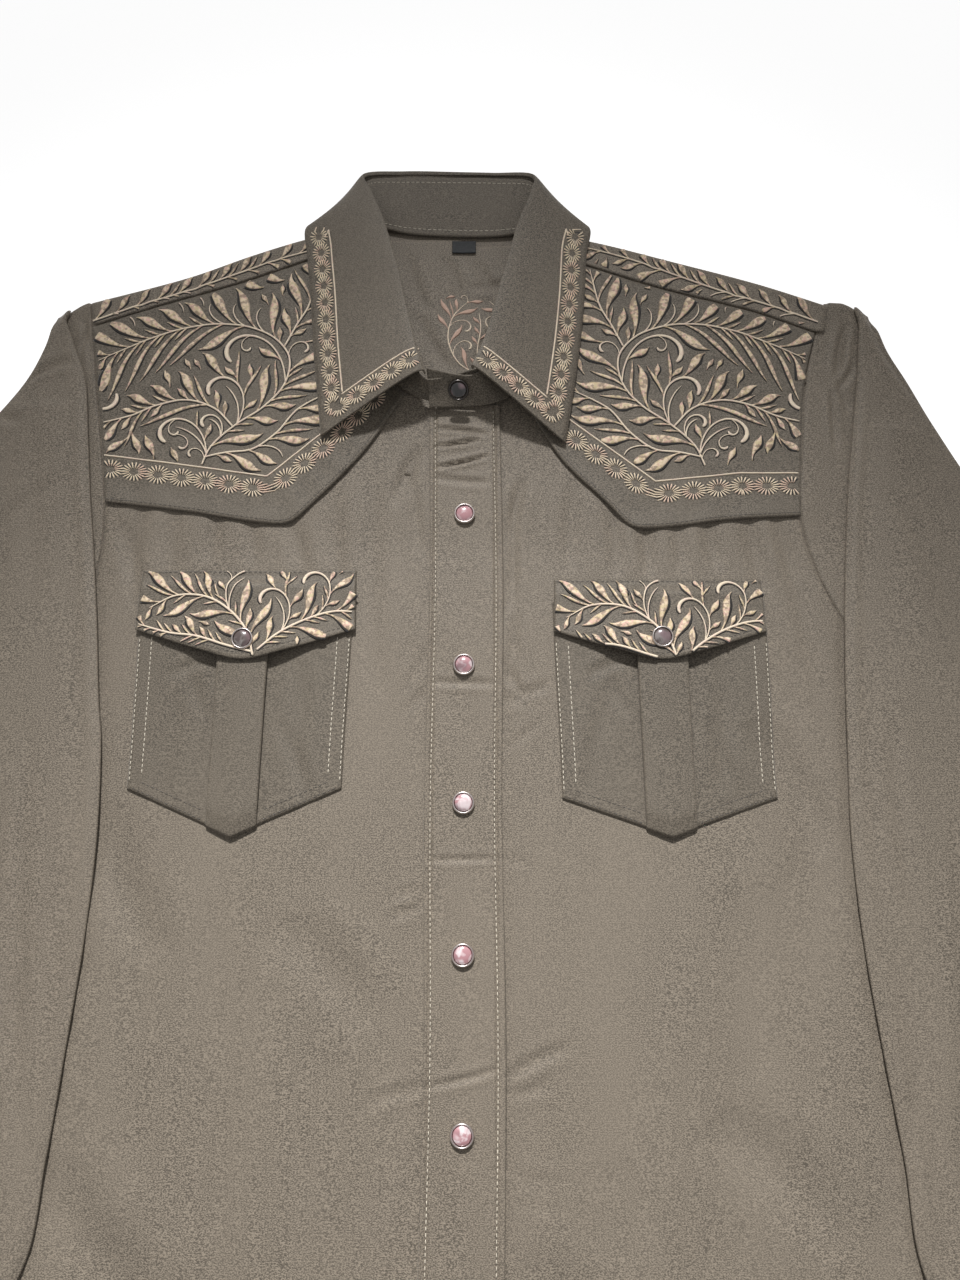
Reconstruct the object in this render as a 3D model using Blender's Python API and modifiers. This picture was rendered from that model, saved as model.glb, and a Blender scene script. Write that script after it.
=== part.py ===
"""Western snap shirt, laid flat on its back, buttoned to the neck.

Metres, +Z up. The hem points to -Y, the collar to +Y, and the wearer's left is on +X.
The origin is the middle of the shirt's footprint, on the surface that it lies on.
Each cloth piece is a grid that one function of (u, v) shapes, given its wall by Solidify.
"""

import math
from collections import namedtuple

import bmesh
import bpy
from mathutils import Vector

# Driving sizes
CLOTH = 0.0010
BAND = 0.0012
GAP = 0.0003
STEP = CLOTH + GAP

HEM_MIDDLE_Y = -0.396
HEM_SIDE_Y = -0.322
UNDERARM_Y = 0.066
CHEST_HALF = 0.255
CHEST_LOFT = 0.0022
BACK_YOKE_SIDE_Y = 0.232
BACK_YOKE_POINT_Y = 0.192
LINING_CLIMB_Y = (0.150, 0.188)

PLACKET_RIGHT_X, PLACKET_LEFT_X = -0.0195, 0.0205
FRONTS_MEET_X = 0.0135
NECK_FRONT_Y = 0.2415

SHOULDER_FOLD_RADIUS = 0.00195

SNAP_RADIUS = 0.0058
SNAP_RIM_INNER = 0.0047
SNAP_PEARL_RADIUS = 0.0044
SNAP_STEPS = 12
NECK_RETURN = 0.006
FRONT_SNAP_YS = (0.174, 0.089, 0.017, -0.057, -0.138, -0.218, -0.298)

SLEEVE_END_Y = -0.240
CUFF_END_Y = -0.304
CUFF_INNER, CUFF_OUTER = 0.232, 0.350

# Heights up the page where the fronts, the back and the sleeves all have a row of points.
BODY_YS = (HEM_SIDE_Y, -0.27, -0.20, -0.13, -0.06, 0.0, 0.040, 0.058)
ARMHOLE_YS = (0.066, 0.069, 0.073, 0.077, 0.083, 0.090, 0.101, 0.115, 0.132, 0.150, 0.170, 0.190, 0.210, 0.2317)
SHOULDER_YS = (0.256, 0.277, 0.294)
SLEEVE_YS = (SLEEVE_END_Y, -0.20, -0.16, -0.11, -0.06, 0.0, 0.040, *ARMHOLE_YS[1:], *SHOULDER_YS, 0.303)

RIGHT, LEFT = -1, 1

Point = namedtuple("Point", "x y")
Row = namedtuple("Row", "y x")

# Armhole seams, from the underarm up to the shoulder, as distances from the centre front.
ARMHOLE = {
    RIGHT: (
        Row(y=0.066, x=0.255), Row(y=0.083, x=0.231), Row(y=0.115, x=0.208),
        Row(y=0.150, x=0.199), Row(y=0.182, x=0.199), Row(y=0.210, x=0.203),
        Row(y=0.253, x=0.210), Row(y=0.290, x=0.216), Row(y=0.306, x=0.219),
    ),
    LEFT: (
        Row(y=0.066, x=0.255), Row(y=0.083, x=0.228), Row(y=0.115, x=0.203),
        Row(y=0.150, x=0.189), Row(y=0.178, x=0.185), Row(y=0.224, x=0.190),
        Row(y=0.262, x=0.195), Row(y=0.286, x=0.202), Row(y=0.304, x=0.212),
    ),
}
# Top line of each shoulder, from the armhole to the neck.
SHOULDER_FOLD = {
    RIGHT: (Point(0.219, 0.306), Point(0.163, 0.323), Point(0.126, 0.338), Point(0.095, 0.349), Point(0.071, 0.355)),
    LEFT: (Point(0.212, 0.304), Point(0.171, 0.319), Point(0.118, 0.335), Point(0.084, 0.345), Point(0.059, 0.351)),
}
# Seam of the front yoke to the back yoke, which comes over the shoulder.
SHOULDER_SEAM = {
    RIGHT: (Point(0.216, 0.290), Point(0.176, 0.304), Point(0.133, 0.318), Point(0.094, 0.333), Point(0.075, 0.339)),
    LEFT: (Point(0.202, 0.286), Point(0.166, 0.300), Point(0.117, 0.314), Point(0.071, 0.330), Point(0.063, 0.333)),
}
# Front neckline, from the centre front to the shoulder seam.
NECKLINE = {
    RIGHT: (Point(0.014, 0.2415), Point(0.034, 0.247), Point(0.055, 0.266), Point(0.069, 0.300), Point(0.075, 0.339)),
    LEFT: (Point(0.014, 0.2415), Point(0.031, 0.247), Point(0.049, 0.266), Point(0.060, 0.300), Point(0.063, 0.333)),
}
# Pointed lower edge of each front yoke, from the armhole to the neckline.
YOKE_EDGE = {
    RIGHT: (Point(0.1985, 0.181), Point(0.156, 0.176), Point(0.112, 0.169), Point(0.097, 0.169),
            Point(0.087, 0.177), Point(0.056, 0.212), Point(0.034, 0.247)),
    LEFT: (Point(0.185, 0.173), Point(0.148, 0.171), Point(0.106, 0.166), Point(0.092, 0.167),
           Point(0.080, 0.179), Point(0.053, 0.208), Point(0.031, 0.247)),
}

# Pockets: centre, top edge, lower corners and tip of the patch, and its flap's outline.
Pocket = namedtuple("Pocket", "centre half top corner tip flap_half flap_top flap_corner flap_tip snap_y")
POCKETS = {
    RIGHT: Pocket(centre=-0.1165, half=0.0560, top=0.128, corner=0.024, tip=0.000,
                  flap_half=0.0580, flap_top=0.1420, flap_corner=0.1080, flap_tip=0.0910, snap_y=0.102),
    LEFT: Pocket(centre=0.1045, half=0.0560, top=0.124, corner=0.019, tip=0.000,
                 flap_half=0.0560, flap_top=0.1365, flap_corner=0.1070, flap_tip=0.0910, snap_y=0.103),
}
PLEAT_HALF = 0.013
PLEAT_UNDER = 0.006

# Sleeves: for each station down the sleeve, distances from the centre front of the visible
# fold, the hidden turn behind it and the outer edge, and the rise of the upper layer.
Sleeve = namedtuple("Sleeve", "y fold turn outer rise")
SLEEVE = {
    RIGHT: (
        Sleeve(y=0.3035, fold=0.2300, turn=0.2345, outer=0.2375, rise=0.0000),
        Sleeve(y=0.296, fold=0.2320, turn=0.2365, outer=0.2400, rise=0.0004),
        Sleeve(y=0.279, fold=0.2260, turn=0.2370, outer=0.2430, rise=0.0010),
        Sleeve(y=0.256, fold=0.2170, turn=0.2330, outer=0.2520, rise=0.0016),
        Sleeve(y=0.229, fold=0.2130, turn=0.2290, outer=0.2700, rise=0.0020),
        Sleeve(y=0.190, fold=0.2080, turn=0.2270, outer=0.2970, rise=0.0024),
        Sleeve(y=0.150, fold=0.2020, turn=0.2290, outer=0.3240, rise=0.0026),
        Sleeve(y=0.115, fold=0.1970, turn=0.2350, outer=0.3450, rise=0.0026),
        Sleeve(y=0.090, fold=0.1940, turn=0.2430, outer=0.3570, rise=0.0026),
        Sleeve(y=0.077, fold=0.1925, turn=0.2480, outer=0.3620, rise=0.0026),
        Sleeve(y=0.069, fold=0.1915, turn=0.2520, outer=0.3650, rise=0.0026),
        Sleeve(y=0.050, fold=0.1885, turn=0.2520, outer=0.3710, rise=0.0026),
        Sleeve(y=0.000, fold=0.1860, turn=0.2505, outer=0.3815, rise=0.0026),
        Sleeve(y=-0.050, fold=0.1875, turn=0.2500, outer=0.3840, rise=0.0026),
        Sleeve(y=-0.100, fold=0.1915, turn=0.2500, outer=0.3770, rise=0.0024),
        Sleeve(y=-0.150, fold=0.1960, turn=0.2510, outer=0.3670, rise=0.0022),
        Sleeve(y=-0.195, fold=0.2020, turn=0.2530, outer=0.3590, rise=0.0020),
        Sleeve(y=-0.240, fold=0.2320, turn=0.2580, outer=0.3500, rise=0.0010),
    ),
    LEFT: (
        Sleeve(y=0.3015, fold=0.2270, turn=0.2310, outer=0.2350, rise=0.0000),
        Sleeve(y=0.292, fold=0.2285, turn=0.2340, outer=0.2390, rise=0.0004),
        Sleeve(y=0.275, fold=0.2265, turn=0.2370, outer=0.2440, rise=0.0010),
        Sleeve(y=0.256, fold=0.2240, turn=0.2400, outer=0.2530, rise=0.0016),
        Sleeve(y=0.229, fold=0.2195, turn=0.2360, outer=0.2650, rise=0.0020),
        Sleeve(y=0.190, fold=0.2130, turn=0.2320, outer=0.2850, rise=0.0024),
        Sleeve(y=0.150, fold=0.2080, turn=0.2330, outer=0.3120, rise=0.0026),
        Sleeve(y=0.115, fold=0.2040, turn=0.2380, outer=0.3370, rise=0.0026),
        Sleeve(y=0.090, fold=0.2020, turn=0.2440, outer=0.3520, rise=0.0026),
        Sleeve(y=0.077, fold=0.2010, turn=0.2480, outer=0.3590, rise=0.0026),
        Sleeve(y=0.069, fold=0.2005, turn=0.2520, outer=0.3630, rise=0.0026),
        Sleeve(y=0.050, fold=0.1995, turn=0.2520, outer=0.3700, rise=0.0026),
        Sleeve(y=0.000, fold=0.1970, turn=0.2505, outer=0.3815, rise=0.0026),
        Sleeve(y=-0.050, fold=0.1985, turn=0.2500, outer=0.3840, rise=0.0026),
        Sleeve(y=-0.100, fold=0.2030, turn=0.2500, outer=0.3790, rise=0.0024),
        Sleeve(y=-0.150, fold=0.2085, turn=0.2520, outer=0.3690, rise=0.0022),
        Sleeve(y=-0.195, fold=0.2120, turn=0.2540, outer=0.3600, rise=0.0020),
        Sleeve(y=-0.240, fold=0.2320, turn=0.2580, outer=0.3500, rise=0.0010),
    ),
}

# Collar: round the neck from the right front end to the left front end. Each station gives
# the neck seam, the stand's top edge, the way the leaf rolls off it, and the leaf's free edge.
Station = namedtuple("Station", "neck top roll edge")
COLLAR = (
    Station(neck=(0.01, 0.239, 0.007), top=(0.008, 0.256, 0.0185), roll=(0, 0, 1), edge=None),
    Station(neck=(-0.016, 0.2405, 0.007), top=(-0.021, 0.249, 0.018), roll=(0, 0, 1), edge=(-0.0805, 0.2195, 0.0075)),
    Station(neck=(-0.036, 0.25, 0.007), top=(-0.0285, 0.264, 0.0175), roll=(0, 0, 1), edge=(-0.083, 0.241, 0.0068)),
    Station(neck=(-0.057, 0.276, 0.0065), top=(-0.0365, 0.292, 0.016), roll=(0, 0, 1), edge=(-0.087, 0.274, 0.0065)),
    Station(neck=(-0.067, 0.3080, 0.0060), top=(-0.043, 0.32, 0.0145), roll=(0, 0, 1), edge=(-0.090, 0.308, 0.0065)),
    Station(neck=(-0.070, 0.3340, 0.0062), top=(-0.05, 0.348, 0.012), roll=(-1, 0, 3), edge=(-0.0930, 0.335, 0.0065)),
    Station(neck=(-0.0690, 0.3540, 0.0064), top=(-0.057, 0.372, 0.01), roll=(-2, 0, 1), edge=(-0.0940, 0.3555, 0.0058)),
    Station(neck=(-0.0580, 0.3580, 0.0036), top=(-0.059, 0.3865, 0.0068), roll=(-2, 1, -1), edge=(-0.0740, 0.3620, 0.0014)),
    Station(neck=(-0.0350, 0.3530, 0.0026), top=(-0.037, 0.3905, 0.0044), roll=(0, 1, -2), edge=(-0.0400, 0.3580, 0.0010)),
    Station(neck=(-0.0090, 0.3510, 0.0026), top=(-0.010, 0.3905, 0.0042), roll=(0, 1, -2), edge=(-0.0100, 0.3570, 0.0010)),
    Station(neck=(0.0180, 0.3510, 0.0026), top=(0.016, 0.3900, 0.0044), roll=(0, 1, -2), edge=(0.0180, 0.3565, 0.0010)),
    Station(neck=(0.0460, 0.3540, 0.0036), top=(0.039, 0.386, 0.0068), roll=(2, 1, -1), edge=(0.0540, 0.3610, 0.0014)),
    Station(neck=(0.0570, 0.3500, 0.0064), top=(0.04, 0.3715, 0.01), roll=(2, 0, 1), edge=(0.0730, 0.3550, 0.0058)),
    Station(neck=(0.0580, 0.3310, 0.0062), top=(0.0335, 0.348, 0.012), roll=(1, 0, 3), edge=(0.0710, 0.335, 0.0065)),
    Station(neck=(0.0570, 0.3050, 0.0060), top=(0.0275, 0.321, 0.0145), roll=(0, 0, 1), edge=(0.0690, 0.306, 0.0065)),
    Station(neck=(0.05, 0.276, 0.0065), top=(0.021, 0.296, 0.0165), roll=(0, 0, 1), edge=(0.0655, 0.274, 0.0065)),
    Station(neck=(0.033, 0.25, 0.007), top=(0.014, 0.27, 0.0185), roll=(0, 0, 1), edge=(0.0605, 0.241, 0.0068)),
    Station(neck=(0.013, 0.2385, 0.0085), top=(0.0055, 0.2505, 0.0205), roll=(0, 0, 1), edge=(0.056, 0.2155, 0.0075)),
    Station(neck=(-0.02, 0.2365, 0.0085), top=(-0.021, 0.2545, 0.0205), roll=(0, 0, 1), edge=None),
)
LEAF_FIRST, LEAF_LAST = 1, 17
COLLAR_REACH = 0.0045
COLLAR_ROLL = 0.0030


# Curves and patches


def ramp(value, low, high):
    """Smooth step from 0 at low to 1 at high."""
    share = min(1.0, max(0.0, (value - low) / (high - low)))
    return share * share * (3 - 2 * share)


def blend(a, b, share):
    return a * (1 - share) + b * share


def knots_of(points):
    """Running chord length at each point, as a share of the whole."""
    total = [0.0]
    for a, b in zip(points, points[1:]):
        total.append(total[-1] + (b - a).length)
    return [t / total[-1] for t in total]


def through(points, smooth=True):
    """Curve through the points, on t from 0 to 1: straight between them, or rounded."""
    points = [Vector(p) for p in points]
    knots = knots_of(points)

    def slope(i):
        a, b = max(0, i - 1), min(len(points) - 1, i + 1)
        return (points[b] - points[a]) / (knots[b] - knots[a])

    def at(t):
        t = min(1.0, max(0.0, t))
        i = max(k for k in range(len(points) - 1) if knots[k] <= t + 1e-12)
        span = knots[i + 1] - knots[i]
        s = (t - knots[i]) / span
        if not smooth:
            return points[i].lerp(points[i + 1], s)
        return (
            points[i] * (2 * s**3 - 3 * s**2 + 1)
            + slope(i) * span * (s**3 - 2 * s**2 + s)
            + points[i + 1] * (3 * s**2 - 2 * s**3)
            + slope(i + 1) * span * (s**3 - s**2)
        )

    return at


def column(rows, key, name, value):
    """Reads a column of a table at a value of its key, rounded through the rows."""
    rows = sorted(rows, key=lambda row: getattr(row, key))
    keys = [getattr(row, key) for row in rows]
    data = [getattr(row, name) for row in rows]
    value = min(keys[-1], max(keys[0], value))
    i = max(k for k in range(len(keys) - 1) if keys[k] <= value + 1e-12)
    span = keys[i + 1] - keys[i]
    s = (value - keys[i]) / span

    def slope(k):
        a, b = max(0, k - 1), min(len(keys) - 1, k + 1)
        return (data[b] - data[a]) / (keys[b] - keys[a])

    return (
        data[i] * (2 * s**3 - 3 * s**2 + 1)
        + slope(i) * span * (s**3 - 2 * s**2 + s)
        + data[i + 1] * (3 * s**2 - 2 * s**3)
        + slope(i + 1) * span * (s**3 - s**2)
    )


def patch(bottom, top, start, end):
    """Flat patch spanned by its four edges. start and end join bottom to top."""

    def place(u, v):
        sides = start(v) * (1 - u) + end(v) * u
        rails = bottom(u) * (1 - v) + top(u) * v
        corners = (bottom(0) * (1 - u) + bottom(1) * u) * (1 - v) + (top(0) * (1 - u) + top(1) * u) * v
        return sides + rails - corners

    return place


def on_side(side, points, smooth=True):
    """Curve through points given as distances from the centre front, on one side of it."""
    return through([(side * p[0], p[1]) for p in points], smooth)


# Heights


def hem_y(x):
    return blend(HEM_MIDDLE_Y, HEM_SIDE_Y, min(1.0, abs(x) / CHEST_HALF) ** 2.4)


def side_x(y):
    """Half the body's width below the underarm: it narrows a little at the waist."""
    waist = math.sin(math.pi * ramp(y, HEM_SIDE_Y, UNDERARM_Y))
    return CHEST_HALF - 0.005 * waist


def armhole_x(side, y):
    return column(ARMHOLE[side], "y", "x", y)


def front_low(x, y):
    """Height of the underside of the fronts: over the back, then over the yoke lining, with a low loft."""
    across = max(0.0, 1 - (abs(x) / CHEST_HALF) ** 4)
    along = ramp(y, HEM_MIDDLE_Y, -0.25) * (1 - ramp(y, 0.10, 0.20))
    return STEP + STEP * ramp(y, *LINING_CLIMB_Y) + CHEST_LOFT * across * along


def raised(place, layers, extra=None):
    """Puts a flat patch at the given number of cloth layers above the underside of the fronts."""

    def shape(u, v):
        x, y = place(u, v)
        return Vector((x, y, front_low(x, y) + layers * STEP + (extra(x, y) if extra else 0.0)))

    return shape


# Solids


def finish(name, mesh, material, parts):
    mesh.materials.append(material)
    mesh.shade_smooth()
    mesh.set_sharp_from_angle(angle=math.radians(35))
    obj = bpy.data.objects.new(name, mesh)
    parts.objects.link(obj)
    return obj


def sheet(name, shape, columns, rows, material, parts, wall=CLOTH, offset=1.0, kept=None, even=True):
    """Cloth wall: a grid whose points shape(u, v) places, given its thickness by Solidify."""
    bm = bmesh.new()
    bmesh.ops.create_grid(bm, x_segments=columns, y_segments=rows, size=0.5)
    if kept:
        middles = [(face, face.calc_center_median()) for face in bm.faces]
        cut = [face for face, middle in middles if not kept(middle.x + 0.5, middle.y + 0.5)]
        bmesh.ops.delete(bm, geom=cut, context="FACES")
    for vert in bm.verts:
        vert.co = shape(vert.co.x + 0.5, vert.co.y + 0.5)
    mesh = bpy.data.meshes.new(name)
    bm.to_mesh(mesh)
    bm.free()
    obj = finish(name, mesh, material, parts)
    solid = obj.modifiers.new("Wall", "SOLIDIFY")
    solid.thickness = wall
    solid.offset = offset
    solid.use_even_offset = even
    return obj


def turned(name, profile, material, parts, closed):
    """Solid of revolution about +Z. The profile runs down its outer side as (radius, height)."""
    bm = bmesh.new()
    verts = [bm.verts.new((radius, 0, height)) for radius, height in profile]
    pairs = zip(verts, verts[1:] + verts[:1]) if closed else zip(verts, verts[1:])
    for a, b in pairs:
        bm.edges.new((a, b))
    mesh = bpy.data.meshes.new(name)
    bm.to_mesh(mesh)
    bm.free()
    obj = finish(name, mesh, material, parts)
    screw = obj.modifiers.new("Turn", "SCREW")
    screw.axis = "Z"
    screw.steps = SNAP_STEPS
    screw.render_steps = SNAP_STEPS
    screw.use_merge_vertices = True
    screw.merge_threshold = 0.00001
    screw.use_smooth_shade = True
    return obj


def material(name, colour, roughness, metallic=0.0):
    made = bpy.data.materials.new(name)
    made.use_nodes = True
    shader = made.node_tree.nodes["Principled BSDF"]
    shader.inputs["Base Color"].default_value = (*colour, 1)
    shader.inputs["Roughness"].default_value = roughness
    shader.inputs["Metallic"].default_value = metallic
    return made


# Body


def back_yoke_low(x):
    return blend(BACK_YOKE_POINT_Y, BACK_YOKE_SIDE_Y, min(1.0, abs(x) / 0.2))


def edge_x(side, y):
    return side_x(y) if y <= UNDERARM_Y else armhole_x(side, y)


def stepped(points):
    """Curve with an even step of t from each point to the next, straight between them."""
    points = [Vector(p) for p in points]

    def at(t):
        spot = min(1.0, max(0.0, t)) * (len(points) - 1)
        i = min(len(points) - 2, int(spot + 1e-9))
        return points[i].lerp(points[i + 1], spot - i)

    return at


def back(cloth, parts):
    """Back panel, flat on the surface, from the hem to the back yoke."""
    ys = (*BODY_YS, *ARMHOLE_YS)

    def shape(u, v):
        edge_y = ys[round(v * (len(ys) - 1))]
        side = RIGHT if u < 0.5 else LEFT
        away = abs(2 * u - 1)
        y = blend(hem_y(away * CHEST_HALF), back_yoke_low(away * 0.2), (edge_y - ys[0]) / (ys[-1] - ys[0]))
        return Vector((side * away * edge_x(side, edge_y), y, 0))

    sheet("back", shape, 16, len(ys) - 1, cloth, parts)


def fold_y(side, x):
    """Height up the page of the shoulder's top line at a distance from the centre."""
    return column(SHOULDER_FOLD[side], "x", "y", x)


def seam_y(side, x):
    return column(SHOULDER_SEAM[side], "x", "y", x)


def neck_back_y(x):
    """Back neckline, a shallow curve between the two shoulders."""
    return 0.3488 + 0.0012 * (x / 0.06) ** 2 - 0.02 * x


YOKE_AWAY = (0.0, 0.10, 0.20, 0.27, 0.32)  # columns across the neck, as shares of half the yoke
YOKE_FLAT_ROWS, YOKE_ARC_ROWS, YOKE_OVER_ROWS = 7, 5, 2
NECK_UNDER = 0.0068  # how far the back yoke runs on under the stand


def back_yoke(cloth, parts):
    """Back yoke: flat from its pointed edge to the neck, and over each shoulder to the front seam."""
    rows = YOKE_FLAT_ROWS + YOKE_ARC_ROWS + YOKE_OVER_ROWS

    def reach(side):
        """Distances from the centre of this side's columns, along the shoulder's top line."""
        neck_x = SHOULDER_FOLD[side][-1].x
        inner = [neck_x * share / YOKE_AWAY[-1] for share in YOKE_AWAY]
        steps = 10
        return inner + [blend(neck_x, armhole_x(side, 0.304) - 3 * GAP, k / steps) for k in range(1, steps + 1)]

    columns = {side: reach(side) for side in (RIGHT, LEFT)}
    half = len(columns[LEFT]) - 1

    def shape(u, v):
        index = round(u * 2 * half) - half
        side = LEFT if index > 0 else RIGHT
        x_top = columns[side][abs(index)]
        row = round(v * rows)
        outer_x = armhole_x(side, 0.304)
        away = x_top / outer_x
        low_y = back_yoke_low(away * 0.2) + 2 * GAP
        neck_x = SHOULDER_FOLD[side][-1].x
        turn_y = fold_y(side, x_top) - SHOULDER_FOLD_RADIUS - CLOTH / 2
        flat_top = neck_back_y(side * x_top) + NECK_UNDER if x_top < neck_x - 1e-6 else turn_y
        if row <= YOKE_FLAT_ROWS:
            share = row / YOKE_FLAT_ROWS
            edge_y = blend(BACK_YOKE_SIDE_Y, fold_y(side, outer_x) - SHOULDER_FOLD_RADIUS - CLOTH / 2, share)
            edge = armhole_x(side, min(0.304, edge_y))
            return Vector((side * away * edge, blend(low_y, flat_top, share), CLOTH / 2))
        if row <= YOKE_FLAT_ROWS + YOKE_ARC_ROWS:
            angle = math.pi * (row - YOKE_FLAT_ROWS) / YOKE_ARC_ROWS
            y = flat_top + SHOULDER_FOLD_RADIUS * math.sin(angle)
            return Vector((side * x_top, y, CLOTH / 2 + SHOULDER_FOLD_RADIUS * (1 - math.cos(angle))))
        share = (row - YOKE_FLAT_ROWS - YOKE_ARC_ROWS) / YOKE_OVER_ROWS
        x = x_top - 0.003 * share * away
        end_y = seam_y(side, max(x, SHOULDER_SEAM[side][-1].x)) + 4 * GAP
        return Vector((side * x, blend(flat_top, end_y, share), CLOTH / 2 + 2 * SHOULDER_FOLD_RADIUS))

    def kept(u, v):
        index = u * 2 * half - half
        inside = abs(index) < len(YOKE_AWAY) - 1
        return not (inside and v * rows > YOKE_FLAT_ROWS)

    sheet("back_yoke", shape, 2 * half, rows, cloth, parts, offset=0.0, kept=kept)


def yoke_lining(cloth, parts):
    """Inner layer of the back yoke, which shows inside the neck."""

    def shape(u, v):
        side = RIGHT if u < 0.5 else LEFT
        away = abs(2 * u - 1)
        neck_x = SHOULDER_FOLD[side][-1].x
        outer_x = armhole_x(side, 0.300) - 0.002
        x_top = away * outer_x
        low_y = back_yoke_low(away * 0.2)
        below_fold = fold_y(side, max(neck_x, x_top)) - NECK_RETURN
        top_y = min(neck_back_y(side * x_top) - 0.0002, below_fold)
        x = side * away * (armhole_x(side, blend(BACK_YOKE_SIDE_Y, 0.300, v)) - 0.001)
        return Vector((x, blend(low_y, top_y, v), STEP))

    sheet("yoke_lining", shape, 32, 8, cloth, parts)


def front(side, cloth, parts):
    """Front panel from hem to shoulder, under the placket, the yoke and the pocket."""
    name = "front_left" if side == LEFT else "front_right"
    meet = FRONTS_MEET_X + (GAP if side == LEFT else 0.0)
    top_x, neck_x = armhole_x(side, 0.300) - 0.001, NECKLINE[side][-1].x + 0.002

    def top_y(x):
        return fold_y(side, x) - NECK_RETURN

    def middle_y(y):
        """Row of the centre edge that faces a row of the side seam: the hem dips in the middle."""
        return blend(HEM_MIDDLE_Y, -0.13, (y - HEM_SIDE_Y) / (-0.13 - HEM_SIDE_Y)) if y < -0.13 else y

    hem = through([(x, hem_y(x)) for x in (blend(side * CHEST_HALF, meet, t / 8) for t in range(9))])
    shoulder = through([(side * x, top_y(x)) for x in (blend(top_x, neck_x, t / 4) for t in range(5))])
    ys = (*BODY_YS, *ARMHOLE_YS, *SHOULDER_YS)
    outer = stepped([*((side * edge_x(side, y), y) for y in ys), (side * top_x, top_y(top_x))])
    neckline = on_side(side, [(side * meet, NECK_FRONT_Y), *NECKLINE[side][1:-1], (neck_x, top_y(neck_x))], smooth=False)
    inner = stepped(
        [
            *((meet, middle_y(y)) for y in ys if y < 0.22),
            *(neckline(t) for t in (0.0, 0.3, 0.6, 0.85, 1.0)),
        ]
    )
    shape = raised(patch(hem, shoulder, outer, inner), 0)
    flip = (lambda u, v: shape(1 - u, v)) if side == LEFT else shape
    sheet(name, flip, 10, len(ys), cloth, parts)


def front_yoke(side, cloth, parts):
    """Western front yoke: an overlay from the shoulder seam to its pointed edge."""
    name = "front_yoke_left" if side == LEFT else "front_yoke_right"
    edge = on_side(side, YOKE_EDGE[side])
    seam = on_side(side, [(p.x, p.y - GAP) for p in SHOULDER_SEAM[side]])
    hole = [(row.x - 0.0005, row.y) for row in ARMHOLE[side] if 0.19 < row.y < 0.288]
    outer = on_side(side, [YOKE_EDGE[side][0], *hole, (SHOULDER_SEAM[side][0].x, SHOULDER_SEAM[side][0].y - GAP)])
    neck = on_side(side, [*NECKLINE[side][1:-1], (SHOULDER_SEAM[side][-1].x, SHOULDER_SEAM[side][-1].y - GAP)])
    shape = raised(patch(edge, seam, outer, neck), 1)
    flip = (lambda u, v: shape(1 - u, v)) if side == LEFT else shape
    sheet(name, flip, 14, 10, cloth, parts)


def placket(cloth, parts):
    """Front band of the wearer's left front, on top of both fronts."""

    def shape(u, v):
        x = blend(PLACKET_RIGHT_X, PLACKET_LEFT_X, u)
        y = blend(hem_y(x), NECK_FRONT_Y - 0.001, v)
        return Vector((x, y, front_low(x, y) + STEP))

    sheet("placket", shape, 4, 26, cloth, parts, wall=BAND)


# Pockets


def pleat_run(half, share):
    """Section of a pocket with a box pleat: share 0 to 1 gives (distance from the centre, layers up)."""
    turn = PLEAT_HALF - PLEAT_UNDER
    radius = 0.5
    stops = [
        (half, 0.0), (turn + 0.0006, 0.0), (turn, 0.18), (turn, 0.82), (turn + 0.0006, 1.0),
        (PLEAT_HALF - 0.0006, 1.0), (PLEAT_HALF, 1.18), (PLEAT_HALF, 1.82), (PLEAT_HALF - 0.0006, 2.0), (0.0, 2.0),
    ]
    mirrored = [(-x, level) for x, level in reversed(stops[:-1])]
    walk = stops + mirrored
    spot = share * (len(walk) - 1)
    i = min(len(walk) - 2, int(spot))
    part = spot - i
    return tuple(blend(a, b, part) for a, b in zip(walk[i], walk[i + 1]))


PLEAT_COLUMNS = 18


def pocket_bottom(spec, away):
    """Lower edge of a pocket at a distance from its middle: down to the tip."""
    return blend(spec.tip, spec.corner, min(1.0, abs(away) / spec.half))


def pocket(side, cloth, parts):
    spec = POCKETS[side]
    name = "pocket_left" if side == LEFT else "pocket_right"

    def shape(u, v):
        away, level = pleat_run(spec.half, 1 - u)
        x = spec.centre + away
        y = blend(pocket_bottom(spec, away), spec.top, v)
        return Vector((x, y, front_low(x, y) + STEP + CLOTH / 2 + level * STEP))

    sheet(name, shape, PLEAT_COLUMNS, 8, cloth, parts, offset=0.0)


def flap_low(spec, x, y):
    """Underside of a pocket flap: over the pocket, and over its pleat in the middle."""
    away = abs(x - spec.centre)
    hump = 1 - ramp(away, PLEAT_HALF + 0.002, PLEAT_HALF + 0.016)
    below = ramp(y, spec.top + 0.011, spec.top + 0.003)
    lift = 0.0012 * ramp(y, spec.flap_corner + 0.01, spec.flap_tip)
    return front_low(x, y) + STEP + below * STEP + 2 * STEP * hump * below + lift


def flap(side, cloth, parts):
    spec = POCKETS[side]
    name = "flap_left" if side == LEFT else "flap_right"

    def shape(u, v):
        away = (2 * u - 1) * spec.flap_half
        low = blend(spec.flap_tip, spec.flap_corner, abs(2 * u - 1))
        x = spec.centre + away
        y = blend(low, spec.flap_top, v)
        return Vector((x, y, flap_low(spec, x, y)))

    sheet(name, shape, 12, 10, cloth, parts, wall=BAND)


# Sleeves


def sleeve_at(side, y, name):
    return column(SLEEVE[side], "y", name, y)


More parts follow.
